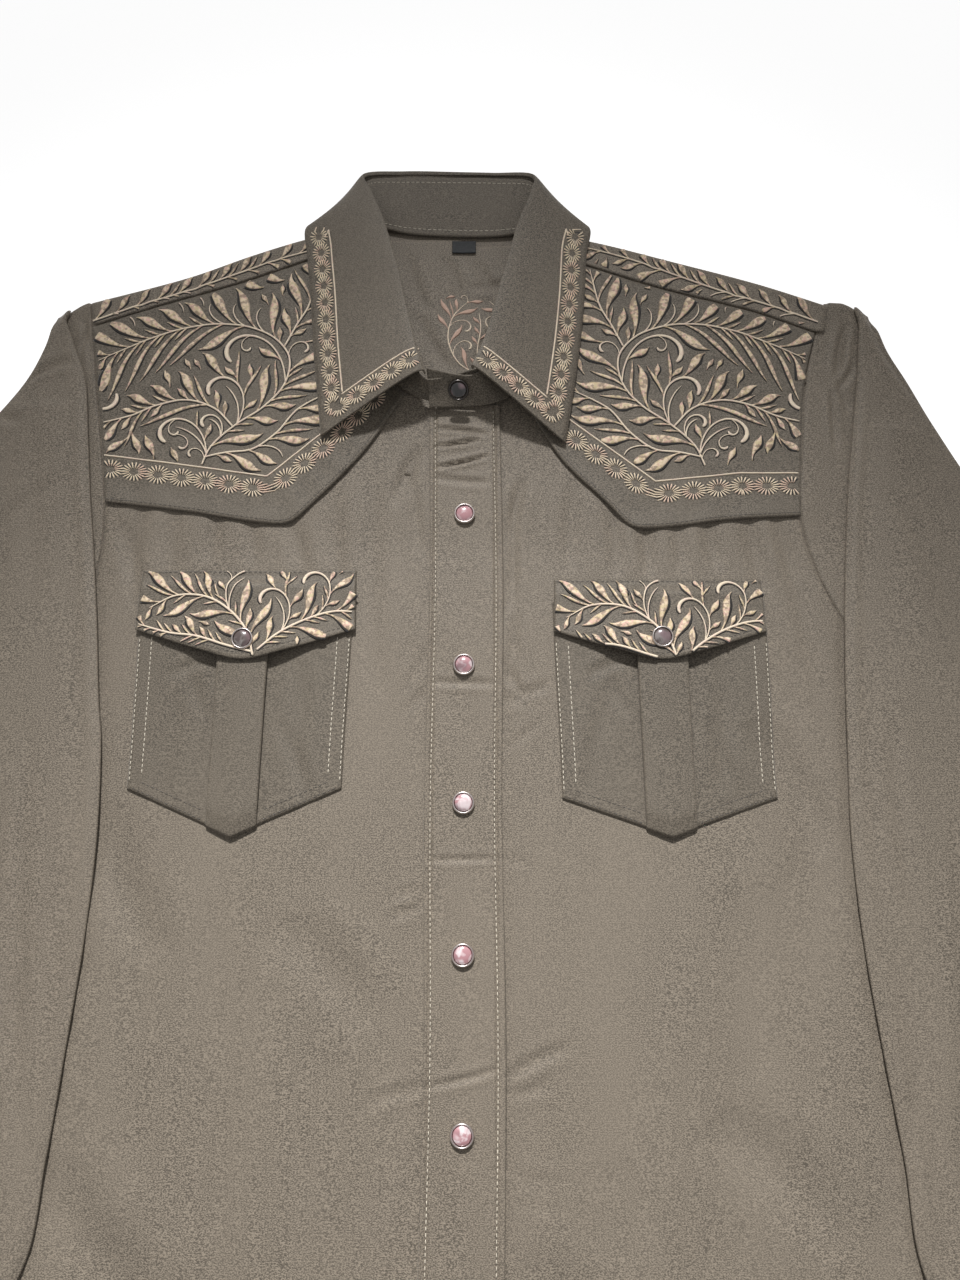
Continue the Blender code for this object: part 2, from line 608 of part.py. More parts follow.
def under_sleeve(side, w, y, start, turn):
    """Middle of the cloth just under the sleeve's folded front, at distance w from the centre."""
    if y > UNDERARM_Y + 0.004:
        seam = front_low(start, y) + CLOTH / 2
        if w <= start:
            return front_low(w, y) + CLOTH / 2
        return blend(seam, STEP + CLOTH / 2, min(1.0, (w - start) / (turn - start)))
    edge = side_x(y)
    return blend(front_low(min(w, edge), y) + CLOTH / 2, CLOTH / 2 - STEP, ramp(w, edge + 0.004, edge + 0.016))


# Shares of the sleeve's grid that its stretches take, from the armhole round to the back.
SLEEVE_STRETCHES = (("strip", 2), ("turn", 4), ("return", 3), ("fold", 4), ("upper", 8), ("outer", 4), ("lower", 7))
SLEEVE_COLUMNS = sum(count for _, count in SLEEVE_STRETCHES)


def sleeve_stretch(u):
    spot = u * SLEEVE_COLUMNS
    for name, count in SLEEVE_STRETCHES:
        if spot <= count + 1e-9:
            return name, spot / count
        spot -= count
    return SLEEVE_STRETCHES[-1][0], 1.0


def sleeve_section(side, u, y):
    """Section of a sleeve at y, from the front armhole seam round to the back: (distance out, height)."""
    fold, turn, outer = (sleeve_at(side, y, name) for name in ("fold", "turn", "outer"))
    rise = sleeve_at(side, y, "rise")
    pleated = y > UNDERARM_Y + 0.004
    start = armhole_x(side, y) + 2 * GAP if pleated else turn - 0.006
    end = armhole_x(side, y) + 2 * GAP if pleated else turn + 2 * GAP
    radius = STEP / 2
    name, share = sleeve_stretch(u)

    def under(w):
        return under_sleeve(side, w, y, start, turn)

    def upper(w):
        """Upper layer: over the folded layers near the fold, lofted, then down to the outer edge."""
        near = under(min(w, turn)) + 2 * STEP
        far = CLOTH / 2 + STEP
        share_out = ramp(w, turn, turn + 0.030) if turn + 0.030 < outer else ramp(w, fold, outer)
        puff = rise * math.sin(math.pi * min(1.0, max(0.0, (w - fold) / (outer - fold)))) ** 0.6
        if not pleated:
            near = under(w) + 2 * STEP
            share_out = 0.0
        return blend(near, far, share_out) + puff

    def lower(w):
        return CLOTH / 2 if pleated else under(w) + STEP

    outer_high = upper(outer - radius)
    outer_low = lower(outer - radius)
    if name == "strip":
        if not pleated:
            return blend(turn, turn - 0.002, share), under(turn) + STEP
        w = blend(start, turn - radius, share)
        return w, under(w)
    if name == "turn":
        if not pleated:
            return blend(turn - 0.002, turn - 0.004, share), under(turn) + STEP
        angle = math.pi * share
        mid = under(turn - radius) + radius
        return turn - radius + radius * math.sin(angle), mid - radius * math.cos(angle)
    if name == "return":
        w = blend(turn - radius if pleated else turn - 0.004, fold + radius, share)
        return w, under(w) + STEP
    if name == "fold":
        angle = math.pi * share
        mid = under(fold + radius) + STEP + radius
        return fold + radius - radius * math.sin(angle), mid - radius * math.cos(angle)
    if name == "upper":
        w = blend(fold + radius, outer - radius, share)
        return w, upper(w)
    if name == "outer":
        angle = math.pi * share
        half = (outer_high - outer_low) / 2
        return outer - radius + radius * math.sin(angle), outer_low + half + half * math.cos(angle)
    w = blend(outer - radius, end, 1 - (1 - share) ** 2)
    return w, lower(w)


def sleeve(side, cloth, parts):
    """Sleeve: one sheet from the front armhole seam round to the back, pleated beside the body."""
    name = "sleeve_left" if side == LEFT else "sleeve_right"
    ys = SLEEVE_YS

    def shape(u, v):
        y = ys[round(v * (len(ys) - 1))]
        w, z = sleeve_section(side, 1 - u if side == LEFT else u, y)
        return Vector((side * w, y, z))

    sheet(name, shape, SLEEVE_COLUMNS, len(ys) - 1, cloth, parts, offset=0.0, even=False)


def cuff_low(side, w, y):
    """Underside of a cuff: on the front where it lies over the body, then down on the surface."""
    return max(0.0, under_sleeve(side, w, min(y, UNDERARM_Y), 0.0, 0.0) + CLOTH / 2 + GAP)


def cuff_section(side, share, y):
    """Section of a cuff round from under its lap: (distance out, height)."""
    radius = 0.0012
    high, lap = BAND / 2 + 2 * radius, BAND / 2 + 2 * radius + BAND + GAP
    middle = (CUFF_INNER + CUFF_OUTER) / 2
    beyond = (0.070, 0.045, 0.030, 0.020, 0.012, 0.006, 0.001, -0.010)
    stops = [CUFF_OUTER - radius, *(CHEST_HALF + more for more in beyond), CUFF_INNER + radius]
    under = [(w, BAND / 2) for w in stops]
    walk = [
        (middle - 0.008, high), (middle + 0.020, high), (CUFF_OUTER - radius, high),
        (CUFF_OUTER - 0.35 * radius, high - 0.3 * radius), (CUFF_OUTER, BAND / 2 + radius),
        (CUFF_OUTER - 0.35 * radius, BAND / 2 + 0.3 * radius), *under,
        (CUFF_INNER + 0.35 * radius, BAND / 2 + 0.3 * radius), (CUFF_INNER, BAND / 2 + radius),
        (CUFF_INNER + 0.35 * radius, lap - 0.3 * radius), (CUFF_INNER + radius, lap),
        (CHEST_HALF - 0.009, lap), (CHEST_HALF + 0.006, lap), (CHEST_HALF + 0.018, lap), (middle + 0.010, lap),
    ]
    spot = share * (len(walk) - 1)
    i = min(len(walk) - 2, int(spot + 1e-9))
    w, z = (blend(a, b, spot - i) for a, b in zip(walk[i], walk[i + 1]))
    return w, z + cuff_low(side, w, y)


CUFF_COLUMNS = 23


def cuff(side, cloth, parts):
    name = "cuff_left" if side == LEFT else "cuff_right"

    def shape(u, v):
        y = blend(CUFF_END_Y, SLEEVE_END_Y - 2 * GAP, v)
        w, z = cuff_section(side, u if side == LEFT else 1 - u, y)
        return Vector((side * w, y, z))

    sheet(name, shape, CUFF_COLUMNS, 3, cloth, parts, wall=BAND, offset=0.0)


# Collar


def collar_curve(name, first, last):
    """Curve of one column of the collar's stations."""
    points = [getattr(row, name) for row in COLLAR[first : last + 1]]
    return lambda t: catmull(points, t)


def catmull(points, t):
    """Rounded curve through 3-D points at even steps of t."""
    spot = min(1.0, max(0.0, t)) * (len(points) - 1)
    i = min(len(points) - 2, int(spot))
    s = spot - i
    p = [Vector(points[min(len(points) - 1, max(0, i + k))]) for k in (-1, 0, 1, 2)]
    return 0.5 * (
        2 * p[1]
        + (p[2] - p[0]) * s
        + (2 * p[0] - 5 * p[1] + 4 * p[2] - p[3]) * s**2
        + (3 * p[1] - p[0] - 3 * p[2] + p[3]) * s**3
    )


def collar_stand(cloth, parts):
    """Stand of the collar, from the neck seam to the leaf, its ends lapped at the front."""
    neck, top = (collar_curve(name, 0, len(COLLAR) - 1) for name in ("neck", "top"))

    def shape(u, v):
        return neck(1 - u).lerp(top(1 - u), v)

    sheet("collar_stand", shape, 2 * (len(COLLAR) - 1), 2, cloth, parts, wall=BAND, offset=0.0, even=False)


def collar_leaf(cloth, parts):
    """Leaf of the collar: it rolls off the stand and falls to its pointed free edge."""
    neck, top, roll, edge = (collar_curve(name, LEAF_FIRST, LEAF_LAST) for name in ("neck", "top", "roll", "edge"))

    def shape(u, v):
        t = 1 - u
        seam, foot, free = top(t), neck(t), edge(t)
        along = (seam - foot).normalized()
        lift = roll(t).normalized()
        begin = seam + along * (BAND / 2 + 6 * GAP) + lift * 0.0014
        crest = begin + along * COLLAR_REACH
        over = crest + lift * COLLAR_ROLL
        return bezier(begin, crest, over, free, v)

    sheet("collar_leaf", shape, 2 * (LEAF_LAST - LEAF_FIRST), 8, cloth, parts, wall=BAND, offset=0.0, even=False)


def bezier(a, b, c, d, t):
    s = 1 - t
    return a * s**3 + b * (3 * s * s * t) + c * (3 * s * t * t) + d * t**3


def size_label(cloth, parts):
    """Woven label, hanging from the back neck seam over the lining."""

    def shape(u, v):
        x = blend(-0.008, 0.006, u)
        y = blend(0.3395, 0.3478, v)
        return Vector((x, y, 2 * STEP))

    sheet("size_label", shape, 2, 2, cloth, parts, wall=0.0006)


# Snaps


def snap(name, x, y, z, materials, parts):
    """Snap cap: a rolled metal rim round a domed pearl."""
    rim_profile = [
        (SNAP_RADIUS, 0.0012), (SNAP_RADIUS - 0.0001, 0.0001), (SNAP_RIM_INNER, 0.0),
        (SNAP_RIM_INNER, 0.0019), (SNAP_RADIUS - 0.0006, 0.0021),
    ]
    pearl_profile = [
        (0.0, 0.0028), (0.6 * SNAP_PEARL_RADIUS, 0.0025), (SNAP_PEARL_RADIUS, 0.0015),
        (SNAP_PEARL_RADIUS, 0.0001), (0.0, 0.0001),
    ]
    for kind, profile, closed in (("rim", rim_profile, True), ("pearl", pearl_profile, False)):
        obj = turned(f"{name}_{kind}", profile, materials[kind], parts, closed)
        obj.location = (x, y, z + GAP)


def snaps(materials, parts):
    for index, y in enumerate(FRONT_SNAP_YS, start=1):
        snap(f"snap_front_{index}", 0.0, y, front_low(0.0, y) + STEP + BAND, materials, parts)
    for side, label in ((RIGHT, "right"), (LEFT, "left")):
        spec = POCKETS[side]
        z = flap_low(spec, spec.centre, spec.snap_y) + BAND
        snap(f"snap_pocket_{label}", spec.centre, spec.snap_y, z, materials, parts)
        cuff_top = 2 * 0.0012 + 2 * BAND + GAP
        middle = (CUFF_INNER + CUFF_OUTER) / 2
        snap(f"snap_cuff_{label}", side * (middle + 0.001), (SLEEVE_END_Y + CUFF_END_Y) / 2, cuff_top, materials, parts)


def neck_snap(materials, parts):
    """Snap on the lapped front of the stand, tilted with it."""
    over, seam = Vector(COLLAR[-1].neck), Vector(COLLAR[-1].top)
    across = Vector((1, 0, 0))
    out = across.cross(seam - over).normalized()
    spot = over.lerp(seam, 0.5) + Vector((0.017, -0.0010, 0)) + out * (BAND / 2 + 0.0017)
    for kind in ("rim", "pearl"):
        small = bpy.data.objects[f"snap_front_1_{kind}"].copy()
        small.name = f"snap_neck_{kind}"
        small.location = spot
        small.rotation_mode = "QUATERNION"
        small.rotation_quaternion = out.to_track_quat("Z", "Y")
        parts.objects.link(small)


def main():
    for obj in list(bpy.data.objects):
        bpy.data.objects.remove(obj)
    parts = bpy.data.collections.new("western_snap_shirt")
    bpy.context.scene.collection.children.link(parts)
    cloth = material("olive_twill", (0.26, 0.225, 0.19), 0.62)
    label = material("label_satin", (0.012, 0.014, 0.016), 0.5)
    hard = {
        "rim": material("nickel", (0.75, 0.72, 0.70), 0.25, metallic=1.0),
        "pearl": material("pearl", (0.62, 0.42, 0.42), 0.2),
    }
    back(cloth, parts)
    back_yoke(cloth, parts)
    yoke_lining(cloth, parts)
    for side in (RIGHT, LEFT):
        front(side, cloth, parts)
        front_yoke(side, cloth, parts)
        pocket(side, cloth, parts)
        flap(side, cloth, parts)
        sleeve(side, cloth, parts)
        cuff(side, cloth, parts)
    placket(cloth, parts)
    collar_stand(cloth, parts)
    collar_leaf(cloth, parts)
    size_label(label, parts)
    snaps(hard, parts)
    neck_snap(hard, parts)


main()
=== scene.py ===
"""Western snap shirt, laid flat on its back: cloth, embroidery, stitching and snaps.

Metres, +Z up. The collar points to +Y and the wearer's left is on +X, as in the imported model.
"""

from __future__ import annotations

import logging
import math
from dataclasses import dataclass, field
from enum import Enum
from typing import Callable, Sequence

import bpy
import numpy as np
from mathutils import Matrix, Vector

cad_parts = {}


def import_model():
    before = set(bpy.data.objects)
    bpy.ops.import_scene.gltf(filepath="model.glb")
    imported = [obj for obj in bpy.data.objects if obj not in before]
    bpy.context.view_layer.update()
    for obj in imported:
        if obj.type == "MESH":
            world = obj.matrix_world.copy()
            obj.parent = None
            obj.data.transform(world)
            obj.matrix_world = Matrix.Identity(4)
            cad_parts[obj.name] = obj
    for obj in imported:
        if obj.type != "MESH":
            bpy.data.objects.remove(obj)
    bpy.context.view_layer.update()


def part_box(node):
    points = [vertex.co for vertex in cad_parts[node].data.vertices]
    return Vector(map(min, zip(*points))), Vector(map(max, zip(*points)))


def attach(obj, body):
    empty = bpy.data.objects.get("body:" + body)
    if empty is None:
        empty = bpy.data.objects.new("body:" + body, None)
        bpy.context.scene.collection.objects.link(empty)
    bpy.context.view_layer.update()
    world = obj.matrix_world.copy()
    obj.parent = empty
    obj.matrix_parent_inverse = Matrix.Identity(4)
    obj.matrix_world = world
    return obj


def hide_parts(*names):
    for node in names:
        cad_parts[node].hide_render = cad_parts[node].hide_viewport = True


LOG = logging.getLogger("shirt")

Array = np.ndarray
Surface = Callable[[Array], Array]
Socket = bpy.types.NodeSocket
Colour = tuple[float, float, float]
Value = Socket | float | Colour

MM = 1000.0
CLOTH = 0.0010
GAP = 0.0003
STEP = CLOTH + GAP
BAND = 0.0012
VISIBLE_WALL = 0.0007
FOLD_RADIUS = 0.00195
BANDS_PER_M = 314.0
OFF_CLOTH = 0.00002
OVER_BORDER = np.array([0.0, 0.0011])
NUDGE = 1e-4
NECK_BACK_Y = 0.3488
UNDER_SHOULDER = 0.006


class Side(Enum):
    """The wearer's sides."""

    RIGHT = -1
    LEFT = 1

    @property
    def word(self) -> str:
        """The side's name in lower case."""
        return self.name.lower()


# Curves and ramps


def ramp(value: Array, low: float, high: float) -> Array:
    """Smooth step 3s^2 - 2s^3, from 0 at low to 1 at high."""
    share = np.clip((np.asarray(value, float) - low) / (high - low), 0.0, 1.0)
    return share * share * (3 - 2 * share)


def blend(a: Array, b: Array, share: Array) -> Array:
    """a at share 0, b at share 1."""
    return a * (1 - share) + b * share


def hermite(keys: Sequence[float], data: Sequence, at: Array, smooth: bool = True) -> Array:
    """Curve through rows of data: cubic Hermite, its slope at a row the chord of its neighbours.

    Args:
        keys: rising parameter of each row.
        data: one value or point a row.
        at: where to read the curve.
        smooth: False gives straight lines between rows.

    Returns:
        The shape of at, with the shape of a row added.
    """
    keys = np.asarray(keys, float)
    data = np.asarray(data, float)
    flat = data.ndim == 1
    data = data.reshape(len(keys), -1)
    at = np.clip(np.asarray(at, float), keys[0], keys[-1])
    i = np.clip(np.searchsorted(keys, at, side="right") - 1, 0, len(keys) - 2)
    span = (keys[i + 1] - keys[i])[..., None]
    s = (at[..., None] - keys[i][..., None]) / span
    if smooth:
        row = np.arange(len(keys))
        low, high = np.maximum(row - 1, 0), np.minimum(row + 1, len(keys) - 1)
        slope = (data[high] - data[low]) / (keys[high] - keys[low])[:, None]
        found = (
            data[i] * (2 * s**3 - 3 * s**2 + 1)
            + slope[i] * span * (s**3 - 2 * s**2 + s)
            + data[i + 1] * (3 * s**2 - 2 * s**3)
            + slope[i + 1] * span * (s**3 - s**2)
        )
    else:
        found = data[i] * (1 - s) + data[i + 1] * s
    return found[..., 0] if flat else found


def walked(points: Array) -> Array:
    """Distance from a line's start to each of its points, along its chords."""
    return np.concatenate([[0.0], np.cumsum(np.linalg.norm(np.diff(points, axis=0), axis=1))])


def pairs(x: Array, y: Array) -> Array:
    """Points on the flat from their coordinates, spread to one shape."""
    return np.stack(np.broadcast_arrays(x, y), axis=-1)


def xyz(x: Array, y: Array, z: Array) -> Array:
    """Points in space from their coordinates, spread to one shape."""
    return np.stack(np.broadcast_arrays(x, y, z), axis=-1)


def unit(vectors: Array) -> Array:
    """Vectors made one long."""
    return vectors / np.maximum(np.linalg.norm(vectors, axis=-1, keepdims=True), 1e-12)


def through(points: Sequence, t: Array, smooth: bool = True) -> Array:
    """Curve through points, read at shares t of its chord length."""
    run = walked(points)
    return hermite(run / run[-1], points, t, smooth)


def on_side(side: Side, points: Sequence) -> Array:
    """Points given as distances from the centre front, put on one side of it."""
    return np.asarray(points, float) * np.array([side.value, 1.0])


def evened(points: Array, pitch: float) -> Array:
    """The points of a line again, a pitch apart or a little less, with both its ends.

    Args:
        points: the line, n by k.
        pitch: wanted distance between points.

    Returns:
        The new points, by k.
    """
    points = np.asarray(points, float)
    run = walked(points)
    at = np.linspace(0, run[-1], max(2, int(round(run[-1] / pitch)) + 1))
    return np.stack([np.interp(at, run, points[:, k]) for k in range(points.shape[1])], axis=1)


def coons(bottom: Array, top: Array, start: Array, end: Array, v: Array) -> Array:
    """Patch spanned by four edges: the two ruled surfaces added, less the corners' bilinear one.

    Args:
        bottom: points at v = 0, along u.
        top: points at v = 1, along u.
        start: points at u = 0, along v.
        end: points at u = 1, along v.
        v: share of each row of start and end.

    Returns:
        Grid of points, rows along v and columns along u.
    """
    u = np.linspace(0, 1, len(bottom))[None, :, None]
    v = np.asarray(v)[:, None, None]
    sides = start[:, None] * (1 - u) + end[:, None] * u
    rails = bottom[None] * (1 - v) + top[None] * v
    corners = (bottom[0] * (1 - u) + bottom[-1] * u) * (1 - v) + (top[0] * (1 - u) + top[-1] * u) * v
    return sides + rails - corners


def inside(polygon: Array, points: Array) -> Array:
    """True where a point has an odd number of polygon edges to its right.

    Args:
        polygon: its corners, n by 2.
        points: points on the flat, any shape by 2.

    Returns:
        Flags in the shape of the points.
    """
    x, y = points[..., 0], points[..., 1]
    odd = np.zeros(x.shape, bool)
    for (x0, y0), (x1, y1) in zip(polygon, np.roll(polygon, -1, axis=0)):
        crosses = (y0 > y) != (y1 > y)
        odd ^= crosses & (x < (x1 - x0) * (y - y0) / (y1 - y0 + 1e-12) + x0)
    return odd


# Meshes


def put(
    name: str, points: Array, faces: Array | list[Array], finish: "Finish", uv: Array | None = None
) -> bpy.types.Object:
    """Mesh object at the origin that rides on the shirt.

    Args:
        name: object name.
        points: vertices, n by 3.
        faces: corner indices, one row a face, or several such blocks.
        finish: what it is made of.
        uv: optional map of each vertex, n by 2, named Thread.

    Returns:
        The new object.
    """
    mesh = bpy.data.meshes.new(name)
    blocks = faces if isinstance(faces, list) else [faces]
    mesh.from_pydata(points.reshape(-1, 3).tolist(), [], [row for block in blocks for row in block.tolist()])
    mesh.materials.append(finish.material())
    mesh.polygons.foreach_set("use_smooth", np.ones(len(mesh.polygons), bool))
    if uv is not None:
        layer = mesh.uv_layers.new(name="Thread")
        corner = np.zeros(len(mesh.loops), np.int32)
        mesh.loops.foreach_get("vertex_index", corner)
        layer.data.foreach_set("uv", uv[corner].astype(np.float32).ravel())
    mesh.validate()
    mesh.update()
    obj = bpy.data.objects.new(name, mesh)
    bpy.context.scene.collection.objects.link(obj)
    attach(obj, "root")
    LOG.info("%s: %d faces", name, len(mesh.polygons))
    return obj


def grid_faces(rows: int, columns: int, kept: Array | None = None, flip: bool = False) -> Array:
    """Quads of a grid of points, as many as kept marks.

    Args:
        rows: points down the grid.
        columns: points across it.
        kept: flags of the quads to keep, if not all.
        flip: True turns the faces over.

    Returns:
        Corner indices, one row a quad.
    """
    index = np.arange(rows * columns).reshape(rows, columns)
    quads = np.stack([index[:-1, :-1], index[:-1, 1:], index[1:, 1:], index[1:, :-1]], axis=-1)
    if flip:
        quads = quads[..., ::-1]
    return quads[kept] if kept is not None else quads.reshape(-1, 4)


def cloth_sheet(
    node: str,
    points: Array,
    finish: "Finish",
    wall: float = VISIBLE_WALL,
    centred: bool = False,
    kept: Array | None = None,
    flip: bool = False,
) -> bpy.types.Object:
    """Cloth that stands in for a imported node: a grid of points, given its wall below by Solidify.

    Args:
        node: the node's name.
        points: grid, rows by columns by 3.
        finish: the cloth.
        wall: its thickness.
        centred: True where the grid is the middle of the wall.
        kept: optional mask of the grid's quads.
        flip: True where the grid runs the other way round.

    Returns:
        The new object.
    """
    rows, columns = points.shape[:2]
    faces = grid_faces(rows, columns, kept, flip)
    if kept is not None:
        used, faces = np.unique(faces, return_inverse=True)
        points, faces = points.reshape(-1, 3)[used], faces.reshape(-1, 4)
    obj = put(f"{node}_cloth", points, faces, finish)
    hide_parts(node)
    solid = obj.modifiers.new("Wall", "SOLIDIFY")
    solid.thickness = wall
    solid.offset = 0.0 if centred else -1.0
    solid.use_even_offset = False
    return obj


# Finishes


class Nodes:
    """Small helper that wires a material's nodes."""

    def __init__(self, name: str) -> None:
        """Starts a material with a bare Principled shader.

        Args:
            name: name of the new material.
        """
        self.made = bpy.data.materials.new(name)
        self.made.use_nodes = True
        self.tree = self.made.node_tree
        self.shader = self.tree.nodes["Principled BSDF"]
        self.place = self.tree.nodes.new("ShaderNodeTexCoord")

    def node(self, kind: str, inputs: dict | None = None, **settings: object) -> bpy.types.Node:
        """New node: settings are its own fields, and inputs are sockets' values or links.

        Args:
            kind: type of the node, without its prefix.
            inputs: values or sockets by input.
            settings: properties of the node.

        Returns:
            The new node.
        """
        made = self.tree.nodes.new(f"ShaderNode{kind}")
        for key, value in settings.items():
            setattr(made, key, value)
        for key, value in (inputs or {}).items():
            if isinstance(value, Socket):
                self.tree.links.new(value, made.inputs[key])
            else:
                made.inputs[key].default_value = value
        return made

    def mix(self, share: Value, a: Value, b: Value) -> Socket:
        """Colour a at share 0 and b at share 1.

        Args:
            share: how much of b.
            a: colour at share 0.
            b: colour at share 1.

        Returns:
            The mixed colour.
        """
        made = self.tree.nodes.new("ShaderNodeMix")
        made.data_type = "RGBA"
        for socket, value in ((made.inputs[0], share), (made.inputs[6], a), (made.inputs[7], b)):
            if isinstance(value, Socket):
                self.tree.links.new(value, socket)
            else:
                socket.default_value = (*value, 1.0) if isinstance(value, tuple) else value
        return made.outputs[2]

    def sum(self, a: Value, b: Value) -> Socket:
        """a and b added."""
        return self.node("Math", {0: a, 1: b}, operation="ADD").outputs[0]

    def times(self, a: Value, b: Value) -> Socket:
        """a and b multiplied."""
        return self.node("Math", {0: a, 1: b}, operation="MULTIPLY").outputs[0]

    def mapped(self, where: Socket, **inputs: Sequence[float]) -> Socket:
        """Coordinates turned, scaled or shifted."""
        return self.node("Mapping", {"Vector": where, **inputs}).outputs[0]

    def noise(self, where: Socket, scale: float, detail: float, **inputs: float) -> Socket:
        """Noise from 0 to 1."""
        return self.node("TexNoise", {"Vector": where, "Scale": scale, "Detail": detail, **inputs}).outputs[0]

    def wave(self, where: Socket, scale: float, axis: str, **inputs: float) -> Socket:
        """Bands across an axis, from 0 to 1."""
        inputs = {"Vector": where, "Scale": scale, **inputs}
        return self.node("TexWave", inputs, bands_direction=axis).outputs["Fac"]

    def spread(self, value: Socket, low: float, high: float, top: float = 1.0) -> Socket:
        """Value ramped from 0 at low to top at high."""
        ends = {"From Min": low, "From Max": high, "To Max": top}
        return self.node("MapRange", {"Value": value, **ends}).outputs[0]

    def set(self, **values: Value) -> None:
        """Sets or links the shader's sockets.

        Args:
            values: values or sockets by input, with underscores for spaces.
        """
        for key, value in values.items():
            socket = self.shader.inputs[key.replace("_", " ")]
            if isinstance(value, Socket):
                self.tree.links.new(value, socket)
            else:
                socket.default_value = (*value, 1.0) if isinstance(value, tuple) else value

    def bump(self, height: Socket, strength: float, distance: float) -> None:
        """Roughens the surface by a height."""
        made = self.node("Bump", {"Height": height, "Strength": strength, "Distance": distance})
        self.tree.links.new(made.outputs[0], self.shader.inputs["Normal"])


@dataclass(frozen=True)
class Finish:
    """What a piece is made of. Colours are linear."""

    name: str
    slot: str
    colour: Colour
    roughness: float = 0.6

    def material(self) -> bpy.types.Material:
        """The finish's material, made once."""
        return bpy.data.materials.get(self.name) or self.make(Nodes(self.name))

    def tint(self, share: float) -> Colour:
        """The colour made darker or lighter."""
        return tuple(c * share for c in self.colour)

    def make(self, nodes: Nodes) -> bpy.types.Material:
        """Wires the material.

        Args:
            nodes: the material's nodes.

        Returns:
            The material.
        """
        nodes.set(Base_Color=self.colour, Roughness=self.roughness)
        return nodes.made


@dataclass(frozen=True)
class TwillFinish(Finish):
    """Fine satin-faced twill: diagonal ribs, picks across, fibre speckle, lighter vertical streaks that are
    partly wear and partly painted sheen, and a soft sheen.
    """

    rib_mm: float = 0.62
    pick_mm: float = 1.35
    turn: float = math.radians(32)

    def make(self, nodes: Nodes) -> bpy.types.Material:
        """Base colour, speckle, ribs and picks, all on Object coordinates.

        Args:
            nodes: the material's nodes.

        Returns:
            The material.
        """
        where = nodes.place.outputs["Object"]
        turned = nodes.mapped(where, Rotation=(0.0, 0.0, self.turn))
        ribs = nodes.wave(turned, BANDS_PER_M / self.rib_mm, "X", Distortion=1.2, Detail=1.0)
        speckle = nodes.noise(nodes.mapped(where, Scale=(1.0, 1.7, 1.0)), 1300.0, 1.0, Roughness=0.5)
        slub = nodes.noise(where, 620.0, 2.0, Roughness=0.6)
        wear_and_sheen_streaks = nodes.noise(nodes.mapped(where, Scale=(1.0, 0.4, 1.0)), 19.0, 3.0)
        grain = nodes.spread(nodes.sum(nodes.sum(speckle, nodes.times(slub, 0.06)), -0.030), 0.40, 0.60)
        tone = nodes.mix(grain, self.tint(0.50), self.tint(1.56))
        tone = nodes.mix(nodes.times(ribs, 0.16), tone, self.tint(0.62))
        irregular = {"Distortion": 2.2, "Detail": 2.0, "Detail Scale": 1.6}
        picks = nodes.wave(where, BANDS_PER_M / self.pick_mm, "Y", **irregular)
        tone = nodes.mix(nodes.times(picks, 0.20), tone, self.tint(0.40))
        # Lighter vertical streaks: partly faded wear, partly painted sheen.
        tone = nodes.mix(nodes.spread(wear_and_sheen_streaks, 0.42, 0.66, 0.4), tone, self.tint(1.14))
        nodes.set(
            Base_Color=tone,
            Roughness=self.roughness,
            Sheen_Weight=0.22,
            Sheen_Roughness=0.38,
            Sheen_Tint=(0.95, 0.88, 0.80),
            Specular_IOR_Level=0.36,
        )
        nodes.bump(nodes.sum(nodes.times(ribs, 0.5), speckle), 0.55, 0.00016)
        return nodes.made


@dataclass(frozen=True)
class ThreadFinish(Finish):
    """Rayon embroidery thread: satin stitches across the stroke, dyed in patches of other colours."""

    others: tuple[Colour, ...] = ()
    patch: float = 260.0
    stitch_mm: float = 0.45
    cut: float = 0.30

    def make(self, nodes: Nodes) -> bpy.types.Material:
        """Patches on Object coordinates, and stitches on the Thread map, which is in millimetres.

        Args:
            nodes: the material's nodes.

        Returns:
            The material.
        """
        where = nodes.place.outputs["Object"]
        along = nodes.node("UVMap", uv_map="Thread").outputs[0]
        stitches = nodes.wave(along, BANDS_PER_M / MM / self.stitch_mm, "Y", Distortion=0.7, Detail=1.0)
        tone = self.colour
        for k, other in enumerate(self.others):
            shifted = nodes.mapped(where, Location=(0.31 * (k + 1), 0.17 * k, 0.0))
            patches = nodes.noise(shifted, self.patch, 1.0)
            tone = nodes.mix(nodes.spread(patches, 0.50, 0.62, 0.85), tone, other)
        tone = nodes.mix(nodes.times(stitches, self.cut), tone, self.tint(0.45))
        nodes.set(Base_Color=tone, Roughness=self.roughness, Specular_IOR_Level=0.6)
        nodes.set(Sheen_Weight=0.35, Sheen_Roughness=0.3)
        nodes.bump(stitches, 0.6, 0.0002)
        return nodes.made


@dataclass(frozen=True)
class MetalFinish(Finish):
    """Plated metal with faint handling marks."""

    def make(self, nodes: Nodes) -> bpy.types.Material:
        """Roughness follows a fine noise.

        Args:
            nodes: the material's nodes.

        Returns:
            The material.
        """
        marks = nodes.noise(nodes.place.outputs["Object"], 900.0, 3.0)
        ends = {"To Min": self.roughness * 0.7, "To Max": self.roughness * 1.5}
        rough = nodes.node("MapRange", {"Value": marks, **ends}).outputs[0]
        nodes.set(Base_Color=self.colour, Metallic=1.0, Roughness=rough)
        return nodes.made


